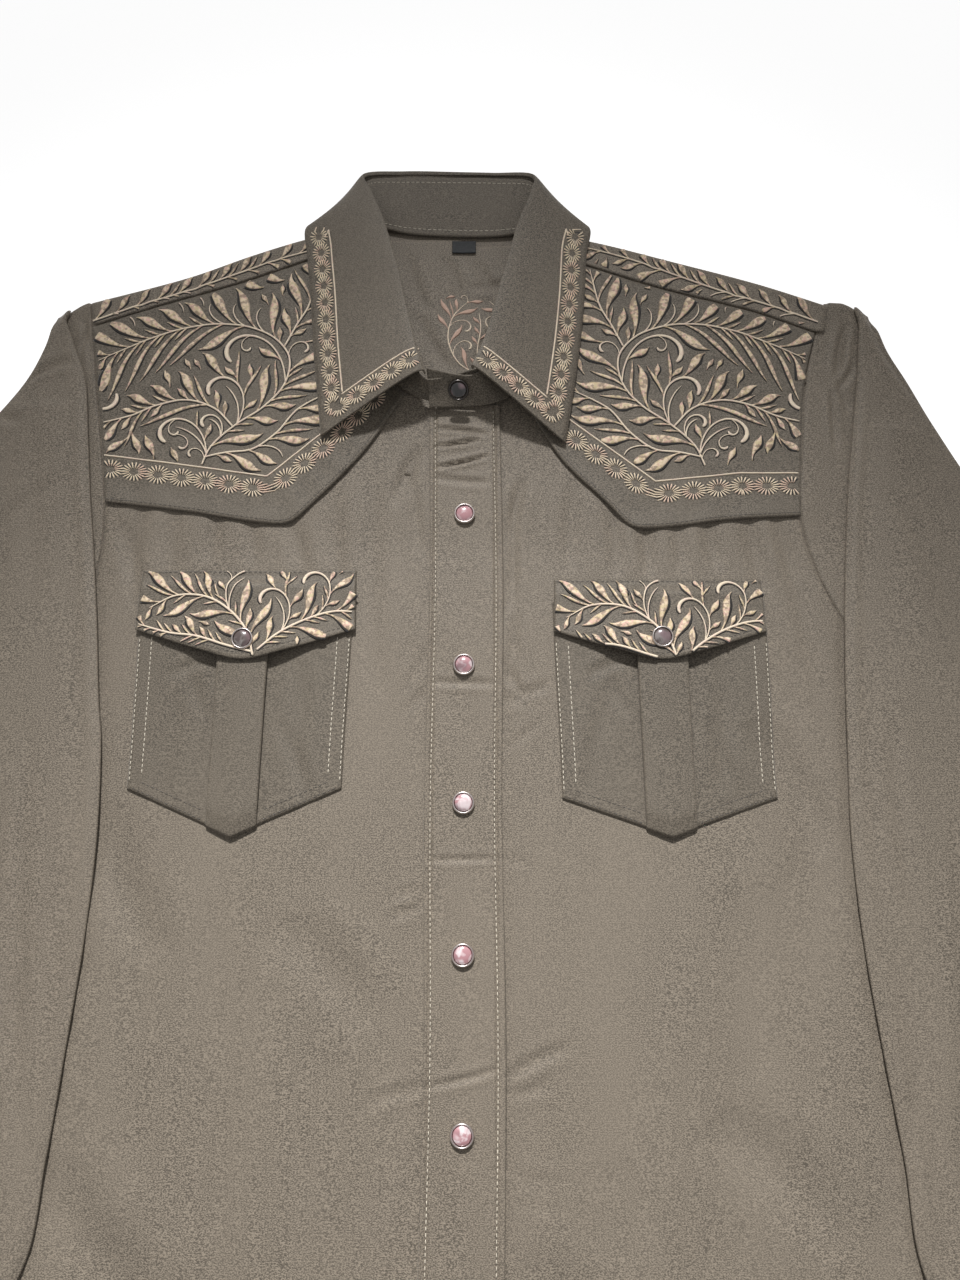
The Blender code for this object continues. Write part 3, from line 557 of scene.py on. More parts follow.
@dataclass(frozen=True)
class PearlFinish(Finish):
    """Pearl resin: clouds of pink, white and grey under a clear coat."""

    cloud: Colour = (0.78, 0.70, 0.70)
    shade: Colour = (0.20, 0.13, 0.14)

    def make(self, nodes: Nodes) -> bpy.types.Material:
        """Two noises on Object coordinates mix the three colours.

        Args:
            nodes: the material's nodes.

        Returns:
            The material.
        """
        where = nodes.place.outputs["Object"]
        white = nodes.spread(nodes.noise(where, 190.0, 2.0, Distortion=1.0), 0.45, 0.62)
        dim = nodes.spread(nodes.noise(where, 130.0, 1.0), 0.50, 0.66, 0.8)
        tone = nodes.mix(dim, nodes.mix(white, self.colour, self.cloud), self.shade)
        nodes.set(Base_Color=tone, Roughness=0.22, Specular_IOR_Level=0.7)
        nodes.set(Coat_Weight=1.0, Coat_Roughness=0.05)
        return nodes.made


@dataclass(frozen=True)
class Wardrobe:
    """Every finish of the shirt."""

    twill: Finish = TwillFinish("olive_twill", "cloth", (0.205, 0.172, 0.134), 0.60)
    # The same olive twill painted darker: painted shade on the yokes, pockets, flaps and collar.
    double: Finish = TwillFinish("olive_twill_painted_shade", "cloth", (0.152, 0.128, 0.099), 0.60)
    gold: Finish = ThreadFinish(
        "gold_thread", "cloth", (1.0, 0.84, 0.64), 0.42, ((0.95, 0.74, 0.60),), 300.0, cut=0.16
    )
    leaf: Finish = ThreadFinish(
        "leaf_thread",
        "cloth",
        (0.98, 0.78, 0.56),
        0.42,
        ((0.82, 0.50, 0.42), (0.74, 0.60, 0.34), (0.34, 0.24, 0.17)),
        430.0,
    )
    ray: Finish = ThreadFinish(
        "ray_thread", "cloth", (1.0, 0.83, 0.61), 0.45, ((0.95, 0.68, 0.53),), 120.0, cut=0.0
    )
    # Near-black thread: painted shade between the suns' rays, and beside the foliage a dark outline thread
    # with painted shadow.
    shadow: Finish = ThreadFinish("shadow_thread", "cloth", (0.016, 0.012, 0.010), 0.6)
    seam: Finish = ThreadFinish("seam_thread", "cloth", (0.84, 0.76, 0.62), 0.5)
    tonal: Finish = ThreadFinish("tonal_thread", "cloth", (0.115, 0.098, 0.080), 0.55)
    rose: Finish = ThreadFinish("rose_thread", "cloth", (0.70, 0.47, 0.36), 0.5)
    label: Finish = TwillFinish("label_satin", "label", (0.010, 0.012, 0.014), 0.45, 0.3)
    nickel: Finish = MetalFinish("nickel", "snap_rim", (0.72, 0.66, 0.63), 0.32)
    # Dark copies of the nickel and the pearl for the neck snap: painted shade.
    shaded_nickel: Finish = MetalFinish("shaded_nickel", "snap_rim", (0.11, 0.10, 0.095), 0.25)
    pearl: Finish = PearlFinish("pearl", "snap_pearl", (0.48, 0.25, 0.27), cloud=(0.80, 0.68, 0.69))
    smoked: Finish = PearlFinish("smoked_pearl", "snap_pearl", (0.10, 0.075, 0.07), cloud=(0.25, 0.22, 0.21))
    shaded_pearl: Finish = PearlFinish("shaded_pearl", "snap_pearl", (0.018, 0.016, 0.016), cloud=(0.05, 0.045, 0.045))


# The lay of the shirt on the surface


@dataclass(frozen=True)
class Crease:
    """A soft trough along a bowed line, with a low lip on each side.

    Places and width are in millimetres. A depth of 1 is 1.6 mm, and a ridge has a negative one.
    """

    x0: float
    y0: float
    x1: float
    y1: float
    depth: float
    width: float
    bow: float = 0.0

    def height(self, x: Array, y: Array) -> Array:
        """Metres to add: -0.0016 depth sin(pi t)^0.6 (exp(-r^2) - 0.4 exp(-(|r| - 1.7)^2)).

        Here t is the share of the line, and r the distance from the bowed line in widths.

        Args:
            x: across the page, metres.
            y: up the page, metres.

        Returns:
            What the crease adds at each point.
        """
        dx, dy = self.x1 - self.x0, self.y1 - self.y0
        size = math.hypot(dx, dy)
        px, py = x * 1000 - self.x0, y * 1000 - self.y0
        t = (px * dx + py * dy) / size**2
        off = (px * dy - py * dx) / size - self.bow * 4 * t * (1 - t)
        r = off / self.width
        near = np.where((t > 0) & (t < 1), np.sin(np.pi * np.clip(t, 0, 1)), 0.0) ** 0.6
        return -0.0016 * self.depth * near * (np.exp(-(r**2)) - 0.4 * np.exp(-((np.abs(r) - 1.7) ** 2)))


def creased(creases: Sequence[Crease], x: Array, y: Array) -> Array:
    """Sum of the heights of several creases."""
    return sum((crease.height(x, y) for crease in creases), np.zeros(np.broadcast(x, y).shape))


def creases_of(*rows: Sequence[float]) -> tuple[Crease, ...]:
    """Creases from rows of their numbers."""
    return tuple(Crease(*row) for row in rows)


@dataclass(frozen=True)
class Lay:
    """Heights of the front as it lies over the back and the yoke lining, with a low loft and creases."""

    hem_middle: float = -0.396
    hem_side: float = -0.322
    underarm: float = 0.066
    chest_half: float = 0.255
    loft: float = 0.0022
    climb: tuple[float, float] = (0.150, 0.188)
    creases: tuple[Crease, ...] = creases_of(
        (-21.5, 240, -21.5, -388, 0.68, 1), (21.9, 240, 21.9, -388, 0.68, 1),
        (17, -10.4, 44, -12.6, 0.45, 0.8, 0.5), (-36, -38, -18, -31, 0.83, 1.6, 1.4),
        (-41, -32, -19, -27, 0.6, 1.5, -1), (21, 93, 30, 74, 1.2, 2.2, 1),
        (23, 73, 46, 80, 1.05, 1.8, 1.6), (22, 69, 38, 69, 0.9, 1.6, -1.2),
        (28, 120, 27, 78, 0.83, 2.6, 1), (26, 168, 25, 118, 0.98, 2.8, -1),
        (33, 196, 26, 160, 1.05, 3.4, 1.5), (20, 44, 41, 60, 0.68, 1.4, 0.6),
        (19, -152, 52, -163, 0.83, 2, 1.6), (19, -163, 44, -170, 0.6, 1.8, -1),
        (-15, -117, -46, -125, 0.75, 2.2, 1.2), (20, -115, 54, -99, 0.9, 2.4, -2),
        (19, -121, 46, -115, 0.6, 2.2, 1), (-28, 127, -29, 45, 0.68, 1.3, 0),
        (-24, 90, -25, 20, 0.52, 2.4, 0), (-24, 215, -38, 178, 1.12, 4, 2),
        (-30, 200, -24, 150, 0.68, 3, 0), (-177, 182, -180, 138, 0.88, 4.6, 2),
        (-160, 180, -159, 132, 0.68, 5, 1), (-137, 178, -141, 146, 0.81, 4.4, -1),
        (-117, 174, -115, 143, 0.61, 4, 0), (-96, 172, -88, 134, 0.74, 4.6, -1.5),
        (-72, 190, -66, 120, 0.68, 5.5, 1.5), (-50, 200, -47, 70, 0.61, 6.5, 2.5),
        (62, 196, 58, 142, 0.68, 5, 1.5), (80, 184, 82, 138, 0.74, 4.4, -1.5),
        (99, 172, 101, 138, 0.81, 4.2, 0), (117, 172, 119, 141, 0.61, 4, 0),
        (134, 173, 138, 142, 0.81, 4.6, 1), (156, 176, 163, 128, 0.81, 5, 1),
        (170, 176, 178, 136, 0.61, 4, -1), (-190, 172, -178, 120, 0.74, 4.2, -2.5),
        (178, 158, 190, 70, 0.5, 5, 2), (146, -20, 136, -230, 1.17, 17, 4),
        (112, -90, 104, -330, 0.78, 16, -5), (70, -150, 60, -390, 0.91, 15, 4),
        (172, 0, 166, -180, 0.72, 12, 3), (-172, 40, -160, -170, 0.65, 14, -4),
        (-120, -30, -112, -260, 0.85, 17, 5), (-70, -60, -62, -320, 0.72, 15, -4),
        (-168, -180, -150, -340, 1.04, 14, 4), (168, -210, 190, -330, 0.91, 13, -4),
        (-186, 20, -150, -60, 1.1, 11, 5), (-192, -150, -140, -215, 1.2, 13, 6),
        (150, 60, 182, -10, 1.1, 10, -4), (120, -130, 176, -190, 1.1, 13, -6),
        (30, -190, 92, -240, 1, 11, 5), (-92, -40, -44, -92, 0.9, 11, -4),
        (-205, -60, -232, -250, 0.59, 9, 3),
    )
    tucks: tuple[Crease, ...] = creases_of(
        (-18, 214.5, 9, 218.5, 0.9, 1.2, 0.4), (-18, 201.5, 14, 209, 0.95, 1.2, 0.5),
        (-17, 225.5, 13, 222, 0.75, 1.4, -0.5), (-18, 80, 17, 79, 0.3, 2, 0),
        (-18, -117, 18, -109, 0.35, 1.7, 0.8), (-19, -11.5, 19, -10.8, 0.26, 1.6, 0),
        (-19, 196, 15, 193, 0.35, 2, 0.8),
    )

    def hem_y(self, x: Array) -> Array:
        """Hem, from its lowest in the middle up to the side seams as |x|^2.4."""
        return blend(self.hem_middle, self.hem_side, np.minimum(1.0, np.abs(x) / self.chest_half) ** 2.4)

    def side_x(self, y: Array) -> Array:
        """Half width below the underarm: 5 mm less at the waist."""
        return self.chest_half - 0.005 * np.sin(np.pi * ramp(y, self.hem_side, self.underarm))

    def plain(self, x: Array, y: Array) -> Array:
        """Underside of the fronts with no creases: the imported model's own heights.

        Args:
            x: across the page, metres.
            y: up the page, metres.

        Returns:
            Heights.
        """
        across = np.maximum(0.0, 1 - (np.abs(x) / self.chest_half) ** 4)
        along = ramp(y, self.hem_middle, -0.25) * (1 - ramp(y, 0.10, 0.20))
        return STEP + STEP * ramp(y, *self.climb) + self.loft * across * along

    def front(self, x: Array, y: Array) -> Array:
        """Top of the front cloth."""
        free = ramp(np.abs(x), 0.262, 0.235)
        return self.plain(x, y) + CLOTH + free * creased(self.creases, x, y) - self.beside_fold(x, y)

    def beside_fold(self, x: Array, y: Array) -> Array:
        """Depth of the trough that the front dips into along each sleeve's fold.

        Args:
            x: across the page, metres.
            y: up the page, metres.

        Returns:
            Depths to take off.
        """
        x, y = np.broadcast_arrays(np.asarray(x, float), np.asarray(y, float))
        deep = np.zeros(x.shape)
        for hand, rows in ((-1, RIGHT_SLEEVE), (1, LEFT_SLEEVE)):
            near = np.exp(-(((hand * x - rows.at("fold", y) + 0.0004) / 0.0017) ** 2))
            deep = deep + 0.0016 * near * ramp(y, 0.17, 0.12) * ramp(y, -0.24, -0.20)
        return deep


ARMHOLE_Y = (0.066, 0.083, 0.115, 0.150, 0.182, 0.210, 0.253, 0.290, 0.306)
ARMHOLE_X = {
    Side.RIGHT: (0.255, 0.231, 0.208, 0.199, 0.199, 0.203, 0.210, 0.216, 0.219),
    Side.LEFT: (0.255, 0.228, 0.203, 0.189, 0.185, 0.1885, 0.1937, 0.2034, 0.213),
}
SHOULDER_FOLD = {
    Side.RIGHT: ((0.219, 0.306), (0.163, 0.323), (0.126, 0.338), (0.095, 0.349), (0.071, 0.355)),
    Side.LEFT: ((0.212, 0.304), (0.171, 0.319), (0.118, 0.335), (0.084, 0.345), (0.059, 0.351)),
}
SHOULDER_SEAM = {
    Side.RIGHT: ((0.216, 0.290), (0.176, 0.304), (0.133, 0.318), (0.094, 0.333), (0.075, 0.339)),
    Side.LEFT: ((0.202, 0.286), (0.166, 0.300), (0.117, 0.314), (0.071, 0.330), (0.063, 0.333)),
}
NECKLINE = {
    Side.RIGHT: ((0.014, 0.2415), (0.034, 0.247), (0.055, 0.266), (0.069, 0.300), (0.075, 0.339)),
    Side.LEFT: ((0.014, 0.2415), (0.031, 0.247), (0.049, 0.266), (0.060, 0.300), (0.063, 0.333)),
}
YOKE_EDGE = {
    Side.RIGHT: (
        (0.1985, 0.181), (0.156, 0.176), (0.112, 0.169), (0.097, 0.169), (0.087, 0.177), (0.056, 0.212),
        (0.034, 0.247),
    ),
    Side.LEFT: (
        (0.185, 0.173), (0.148, 0.171), (0.106, 0.166), (0.092, 0.167), (0.080, 0.179), (0.053, 0.208),
        (0.031, 0.247),
    ),
}
BACK_YOKE_SIDE_Y, BACK_YOKE_POINT_Y = 0.232, 0.192
NECK_UNDER = 0.0068


def armhole_x(side: Side, y: Array) -> Array:
    """Distance of an armhole seam from the centre front."""
    return hermite(ARMHOLE_Y, ARMHOLE_X[side], np.asarray(y, float))


def line_y(line: Sequence, x: Array) -> Array:
    """Height up the page of a shoulder line at distance x from the centre."""
    rows = sorted(line)
    return hermite([row[0] for row in rows], [row[1] for row in rows], np.asarray(x, float))


@dataclass
class Body:
    """Back, back yoke with its lining, and the two fronts with their placket."""

    lay: Lay
    wardrobe: Wardrobe
    meet_x: float = 0.0135
    neck_y: float = 0.2415
    placket_x: tuple[float, float] = (-0.0195, 0.0205)
    welts_x: tuple[float, float] = (-0.0165, 0.0168)

    def edge_x(self, side: Side, y: Array) -> Array:
        """Side seam below the underarm, armhole above it."""
        return np.where(y <= self.lay.underarm, self.lay.side_x(y), armhole_x(side, y))

    def back_yoke_low(self, away: Array) -> Array:
        """Pointed lower edge of the back yoke, at a share of its half width."""
        return blend(BACK_YOKE_POINT_Y, BACK_YOKE_SIDE_Y, np.minimum(1.0, away))

    def back(self) -> bpy.types.Object:
        """Back panel: flat on the surface, lifted a little along its own folds.

        Returns:
            The back.
        """
        rows, columns = 160, 131
        edge_y = np.linspace(self.lay.hem_side, BACK_YOKE_SIDE_Y, rows)[:, None]
        u = np.linspace(-1, 1, columns)[None]
        away = np.abs(u)
        share = (edge_y - self.lay.hem_side) / (BACK_YOKE_SIDE_Y - self.lay.hem_side)
        y = blend(self.lay.hem_y(away * self.lay.chest_half), self.back_yoke_low(away), share)
        reach = np.where(u < 0, self.edge_x(Side.RIGHT, edge_y), self.edge_x(Side.LEFT, edge_y))
        x = u * reach
        folds = creases_of(
            (-60, 190, -72, -60, -0.9, 9, 4), (58, 188, 76, -40, -0.8, 9, -5),
            (4, 60, -10, -380, -0.7, 12, 6), (-150, 40, -120, -330, -0.8, 11, -6),
            (150, 20, 128, -350, -0.9, 12, 5), (-190, 150, -150, 60, -0.7, 7, 3),
            (186, 150, 150, 50, -0.6, 7, -3),
        )
        lift = np.clip(creased(folds, x, y), 0.0, 0.0008) * ramp(np.abs(u), 1.0, 0.9)
        points = xyz(x, y, VISIBLE_WALL + 0.0001 + lift)
        return cloth_sheet("back", points, self.wardrobe.twill)

    def shoulder_ripple(self, side: Side, x: Array, y: Array) -> Array:
        """Small creases of the back yoke where it comes over a shoulder.

        Args:
            side: the wearer's side.
            x: across the page, metres.
            y: up the page, metres.

        Returns:
            Heights to add.
        """
        s = side.value
        creases = creases_of(
            (s * 112, 336, s * 108, 318, 0.35, 3), (s * 160, 322, s * 156, 302, 0.4, 3.4),
            (s * 190, 312, s * 187, 296, 0.35, 3),
        )
        return creased(creases, x, y)

    def over_top(self, side: Side, x: Array, y: Array) -> Array:
        """Top of the back yoke between a shoulder's fold and the front seam.

        Args:
            side: the wearer's side.
            x: across the page, metres.
            y: up the page, metres.

        Returns:
            Heights of the strip's upper face.
        """
        top = line_y(SHOULDER_FOLD[side], np.abs(x)) - FOLD_RADIUS - CLOTH / 2
        drop = FOLD_RADIUS - np.sqrt(np.maximum(FOLD_RADIUS**2 - np.maximum(0.0, y - top) ** 2, 0.0))
        return CLOTH / 2 + 2 * FOLD_RADIUS + VISIBLE_WALL / 2 + self.shoulder_ripple(side, x, y) - drop

    def back_yoke_points(self, side: Side) -> tuple[Array, int, int]:
        """Half of the back yoke: flat, then round the shoulder's fold, then down to the front seam.

        Args:
            side: which half.

        Returns:
            Middle of the cloth, rows by columns by 3; the last flat row; the last column inside the neck.
        """
        neck_x = SHOULDER_FOLD[side][-1][0]
        outer_x = float(armhole_x(side, 0.304)) - 3 * GAP
        x_top = np.concatenate([np.linspace(0, neck_x, 26)[:-1], np.linspace(neck_x, outer_x, 56)])[None]
        flat_rows, arc_rows, over_rows = 50, 10, 10
        away = x_top / outer_x
        low_y = self.back_yoke_low(away) + 2 * GAP
        fold = line_y(SHOULDER_FOLD[side], x_top)
        turn_y = fold - FOLD_RADIUS - CLOTH / 2
        neck_back = NECK_BACK_Y + NECK_UNDER + 0.0012 * (x_top / 0.06) ** 2 - 0.02 * side.value * x_top
        top = np.where(x_top < neck_x - 1e-6, neck_back, turn_y)
        share = np.linspace(0, 1, flat_rows + 1)[:, None]
        fold_y = line_y(SHOULDER_FOLD[side], outer_x) - FOLD_RADIUS - CLOTH / 2
        edge_y = blend(BACK_YOKE_SIDE_Y, fold_y, share)
        flat_x = away * (armhole_x(side, np.minimum(0.304, edge_y)) - GAP)
        flat = xyz(flat_x, blend(low_y, top, share), np.full(flat_x.shape, CLOTH / 2))
        angle = np.pi * np.linspace(0, 1, arc_rows + 1)[1:, None]
        arc_y = top + FOLD_RADIUS * np.sin(angle)
        arc_z = CLOTH / 2 + FOLD_RADIUS * (1 - np.cos(angle)) + 0 * arc_y
        arc = np.stack([np.broadcast_to(x_top, arc_y.shape), arc_y, arc_z], axis=-1)
        share = np.linspace(0, 1, over_rows + 1)[1:, None]
        x = x_top - 0.003 * share * away
        seam = line_y(SHOULDER_SEAM[side], np.maximum(x, SHOULDER_SEAM[side][-1][0])) + 3 * GAP
        y = blend(top, seam, share)
        ripple = self.shoulder_ripple(side, side.value * x, y)
        over = xyz(x, y, CLOTH / 2 + 2 * FOLD_RADIUS + ripple)
        points = np.concatenate([flat, arc, over]) * np.array([side.value, 1.0, 1.0])
        return points, flat_rows, 25

    def back_yoke(self) -> bpy.types.Object:
        """Back yoke over both shoulders, one sheet.

        Returns:
            The back yoke.
        """
        right, flat_rows, neck = self.back_yoke_points(Side.RIGHT)
        left, _, _ = self.back_yoke_points(Side.LEFT)
        points = np.concatenate([right[:, :0:-1], left], axis=1)
        rows, columns = points.shape[:2]
        middle = right.shape[1] - 1
        over = np.arange(rows - 1)[:, None] >= flat_rows
        neck_hole = np.abs(np.arange(columns - 1)[None] + 0.5 - middle) < neck
        return cloth_sheet("back_yoke", points, self.wardrobe.twill, centred=True, kept=~(over & neck_hole))

    def lining_top(self, x: Array, y: Array) -> Array:
        """Top of the yoke lining, slack in soft folds below the neck.

        Args:
            x: across the page, metres.
            y: up the page, metres.

        Returns:
            Heights of the lining's upper face.
        """
        folds = creases_of(
            (-34, 340, -22, 300, 0.9, 3.4, 2), (-14, 338, -5, 306, 1.08, 3, -3),
            (7, 335, 22, 312, 1.26, 3, 3), (3, 318, 26, 322, 0.9, 2.6, 3), (30, 340, 24, 292, 0.9, 3, -2),
            (-28, 300, -8, 262, 0.9, 3.8, 2), (20, 300, 4, 262, 0.9, 3.8, -2),
        )
        return STEP + CLOTH + np.clip(creased(folds, x, y), -0.0009, 0.0016)

    def yoke_lining(self) -> bpy.types.Object:
        """Inner layer of the back yoke, which shows inside the neck.

        Returns:
            The lining.
        """
        rows, half = 70, 70
        grids = []
        for side in Side:
            neck_x = SHOULDER_FOLD[side][-1][0]
            outer_x = float(armhole_x(side, 0.300)) - 0.002
            away = np.linspace(0, 1, half + 1)[None]
            v = np.linspace(0, 1, rows + 1)[:, None]
            x_top = away * outer_x
            neck_back = NECK_BACK_Y + 0.0012 * (x_top / 0.06) ** 2 - 0.02 * side.value * x_top
            below = line_y(SHOULDER_FOLD[side], np.maximum(neck_x, x_top)) - UNDER_SHOULDER
            top = np.minimum(neck_back - 0.0002, below)
            x = side.value * away * (armhole_x(side, blend(BACK_YOKE_SIDE_Y, 0.300, v)) - 0.001)
            y = blend(self.back_yoke_low(away), top, v)
            grids.append(xyz(x, y, self.lining_top(x, y)))
        points = np.concatenate([grids[0][:, :0:-1], grids[1]], axis=1)
        return cloth_sheet("yoke_lining", points, self.wardrobe.twill)

    def front_points(self, side: Side) -> Array:
        """Flat plan of a front, rows from the hem to the shoulder and columns from the side to the centre.

        Args:
            side: the wearer's side.

        Returns:
            Grid of points, rows up the front.
        """
        meet = self.meet_x + (GAP if side is Side.LEFT else 0.0)
        body_y = np.linspace(self.lay.hem_side, BACK_YOKE_SIDE_Y, 186)
        top_x, neck_x = float(armhole_x(side, 0.300)) - 0.001, NECKLINE[side][-1][0] + 0.002
        corner = np.array([top_x, float(line_y(SHOULDER_FOLD[side], top_x)) - UNDER_SHOULDER])
        upper_y = np.linspace(BACK_YOKE_SIDE_Y, corner[1], 26)[1:]
        outer_y = np.concatenate([body_y, upper_y])
        outer_x = self.edge_x(side, outer_y)
        outer_x[-25:] = np.minimum(outer_x[-25:], top_x)
        outer = pairs(side.value * outer_x, outer_y)
        up_hem = (body_y - self.lay.hem_side) / (-0.13 - self.lay.hem_side)
        middle_y = np.where(body_y < -0.13, blend(self.lay.hem_middle, -0.13, up_hem), body_y)
        middle_y = middle_y + (self.neck_y - BACK_YOKE_SIDE_Y) * ramp(body_y, 0.15, BACK_YOKE_SIDE_Y)
        neck_top = (neck_x, float(line_y(SHOULDER_FOLD[side], neck_x)) - UNDER_SHOULDER)
        bends = [(side.value * meet, self.neck_y), *NECKLINE[side][1:-1], neck_top]
        neckline = through(bends, np.linspace(0, 1, 26)[1:], False)
        inner = np.concatenate([pairs(np.full(186, meet), middle_y), on_side(side, neckline)])
        columns = 88
        hem_x = np.linspace(side.value * self.lay.chest_half, meet, columns)
        hem = pairs(hem_x, self.lay.hem_y(hem_x))
        shoulder_x = np.linspace(top_x, neck_x, columns)
        shoulder = pairs(side.value * shoulder_x, line_y(SHOULDER_FOLD[side], shoulder_x) - UNDER_SHOULDER)
        v = np.linspace(0, 1, len(outer))
        return coons(hem, shoulder, outer, inner, v)

    def front(self, side: Side) -> bpy.types.Object:
        """Front panel, from the hem to the shoulder.

        Args:
            side: the wearer's side.

        Returns:
            The front.
        """
        plan = self.front_points(side)
        x, y = plan[..., 0], plan[..., 1]
        hem = self.lay.hem_y(x) + 0.0072
        z = self.lay.front(x, y) - 0.00025 * np.exp(-(((y - hem) / 0.0007) ** 2))
        points = xyz(x, y, z)
        return cloth_sheet(f"front_{side.word}", points, self.wardrobe.twill, flip=side is Side.LEFT)

    def placket_top(self, x: Array, y: Array) -> Array:
        """Top of the placket: its tucks, and a groove beside each welt of 0.5 mm.

        Args:
            x: across the page, metres.
            y: up the page, metres.

        Returns:
            Heights of the placket's upper face.
        """
        grooves = sum(np.exp(-(((x - at) / 0.0008) ** 2)) for at in self.welts_x)
        ripple = 0.00018 * np.sin(x * 240 + y * 37) * np.sin(y * 61)
        return (
            self.lay.plain(x, y) + STEP + BAND + 0.5 * creased(self.lay.creases, x, y)
            + creased(self.lay.tucks, x, y) * 1.5 - 0.00110 * grooves + ripple
        )

    def placket(self) -> bpy.types.Object:
        """Front band, with a welt along each edge.

        Returns:
            The placket.
        """
        x = np.linspace(*self.placket_x, 74)[None]
        v = np.linspace(0, 1, 460)[:, None]
        wander = 0.0007 * np.sin(v * 17) * ramp(v, 0.0, 0.1)
        y = blend(self.lay.hem_y(x), self.neck_y - 0.001, v)
        x = x + wander + 0 * y
        z = self.placket_top(x, y)
        edge = np.minimum(x - wander - self.placket_x[0], self.placket_x[1] - x + wander)
        z = z - 0.0005 * (1 - ramp(edge, 0.0, 0.0008))
        return cloth_sheet("placket", xyz(x, y, z), self.wardrobe.twill)

    def build(self) -> None:
        """All of the body's cloth, from the surface up."""
        self.back()
        self.back_yoke()
        self.yoke_lining()
        for side in Side:
            self.front(side)
        self.placket()


@dataclass
class FrontYoke:
    """One western front yoke: an overlay from the shoulder seam to its pointed edge."""

    lay: Lay
    wardrobe: Wardrobe
    side: Side
    lift: float = 0.0007

    def outline(self) -> Array:
        """Corner points all round, for keeping thread on the cloth.

        Returns:
            Corners of the outline, n by 2.
        """
        edge = through(on_side(self.side, YOKE_EDGE[self.side]), np.linspace(0, 1, 30))
        seam = through(on_side(self.side, SHOULDER_SEAM[self.side]), np.linspace(0, 1, 16))[::-1]
        hole_y = np.linspace(0.285, 0.185, 12)
        hole = pairs(self.side.value * armhole_x(self.side, hole_y), hole_y)
        neck = on_side(self.side, NECKLINE[self.side][1:-1])
        return np.concatenate([edge, neck, seam, hole])

    def top(self, x: Array, y: Array) -> Array:
        """Top of the yoke, its free edge standing a little off the front, slack between embroideries.

        Args:
            x: across the page, metres.
            y: up the page, metres.

        Returns:
            Heights of the yoke's upper face.
        """
        low = self.edge_y(x)
        near = ramp(y - low, 0.016, 0.0)
        pucker = 0.00022 * np.sin(x * 190 + 3 * np.sin(y * 60)) * np.sin(y * 170 + 2 * np.sin(x * 70))
        return self.lay.plain(x, y) + CLOTH + STEP + self.lift * near**2 + pucker

    def edge_y(self, x: Array) -> Array:
        """Height up the page of the pointed edge at x."""
        rows = sorted(YOKE_EDGE[self.side])
        return hermite([row[0] for row in rows], [row[1] for row in rows], self.side.value * x, False)

    def cloth(self) -> bpy.types.Object:
        """The yoke's cloth on a 1.5 mm grid.

        Returns:
            The yoke.
        """
        side = self.side
        u, v = np.linspace(0, 1, 120), np.linspace(0, 1, 90)
        edge = through(on_side(side, YOKE_EDGE[side]), u)
        seam = through(on_side(side, [(x, y - GAP) for x, y in SHOULDER_SEAM[side]]), u)
        hole_y = np.array([y for y in ARMHOLE_Y if 0.19 < y < 0.288])
        hole = [(float(armhole_x(side, y)) - 0.0005, y) for y in hole_y]
        first, last = SHOULDER_SEAM[side][0], SHOULDER_SEAM[side][-1]
        outer = through(on_side(side, [YOKE_EDGE[side][0], *hole, (first[0], first[1] - GAP)]), v)
        neck = through(on_side(side, [*NECKLINE[side][1:-1], (last[0], last[1] - GAP)]), v)
        plan = coons(edge, seam, outer, neck, v)
        x, y = plan[..., 0], plan[..., 1]
        roll = 0.0004 * (1 - ramp(np.minimum(v[:, None] * 0.11, 1), 0.0, 0.0012))
        seat = 0.0005 * ramp(v[:, None] + 0 * x, 0.985, 1.0)
        points = xyz(x, y, self.top(x, y) - roll - seat)
        # The yoke is in the darker copy of the twill: painted shade.
        return cloth_sheet(f"front_yoke_{side.word}", points, self.wardrobe.double, flip=side is Side.LEFT)


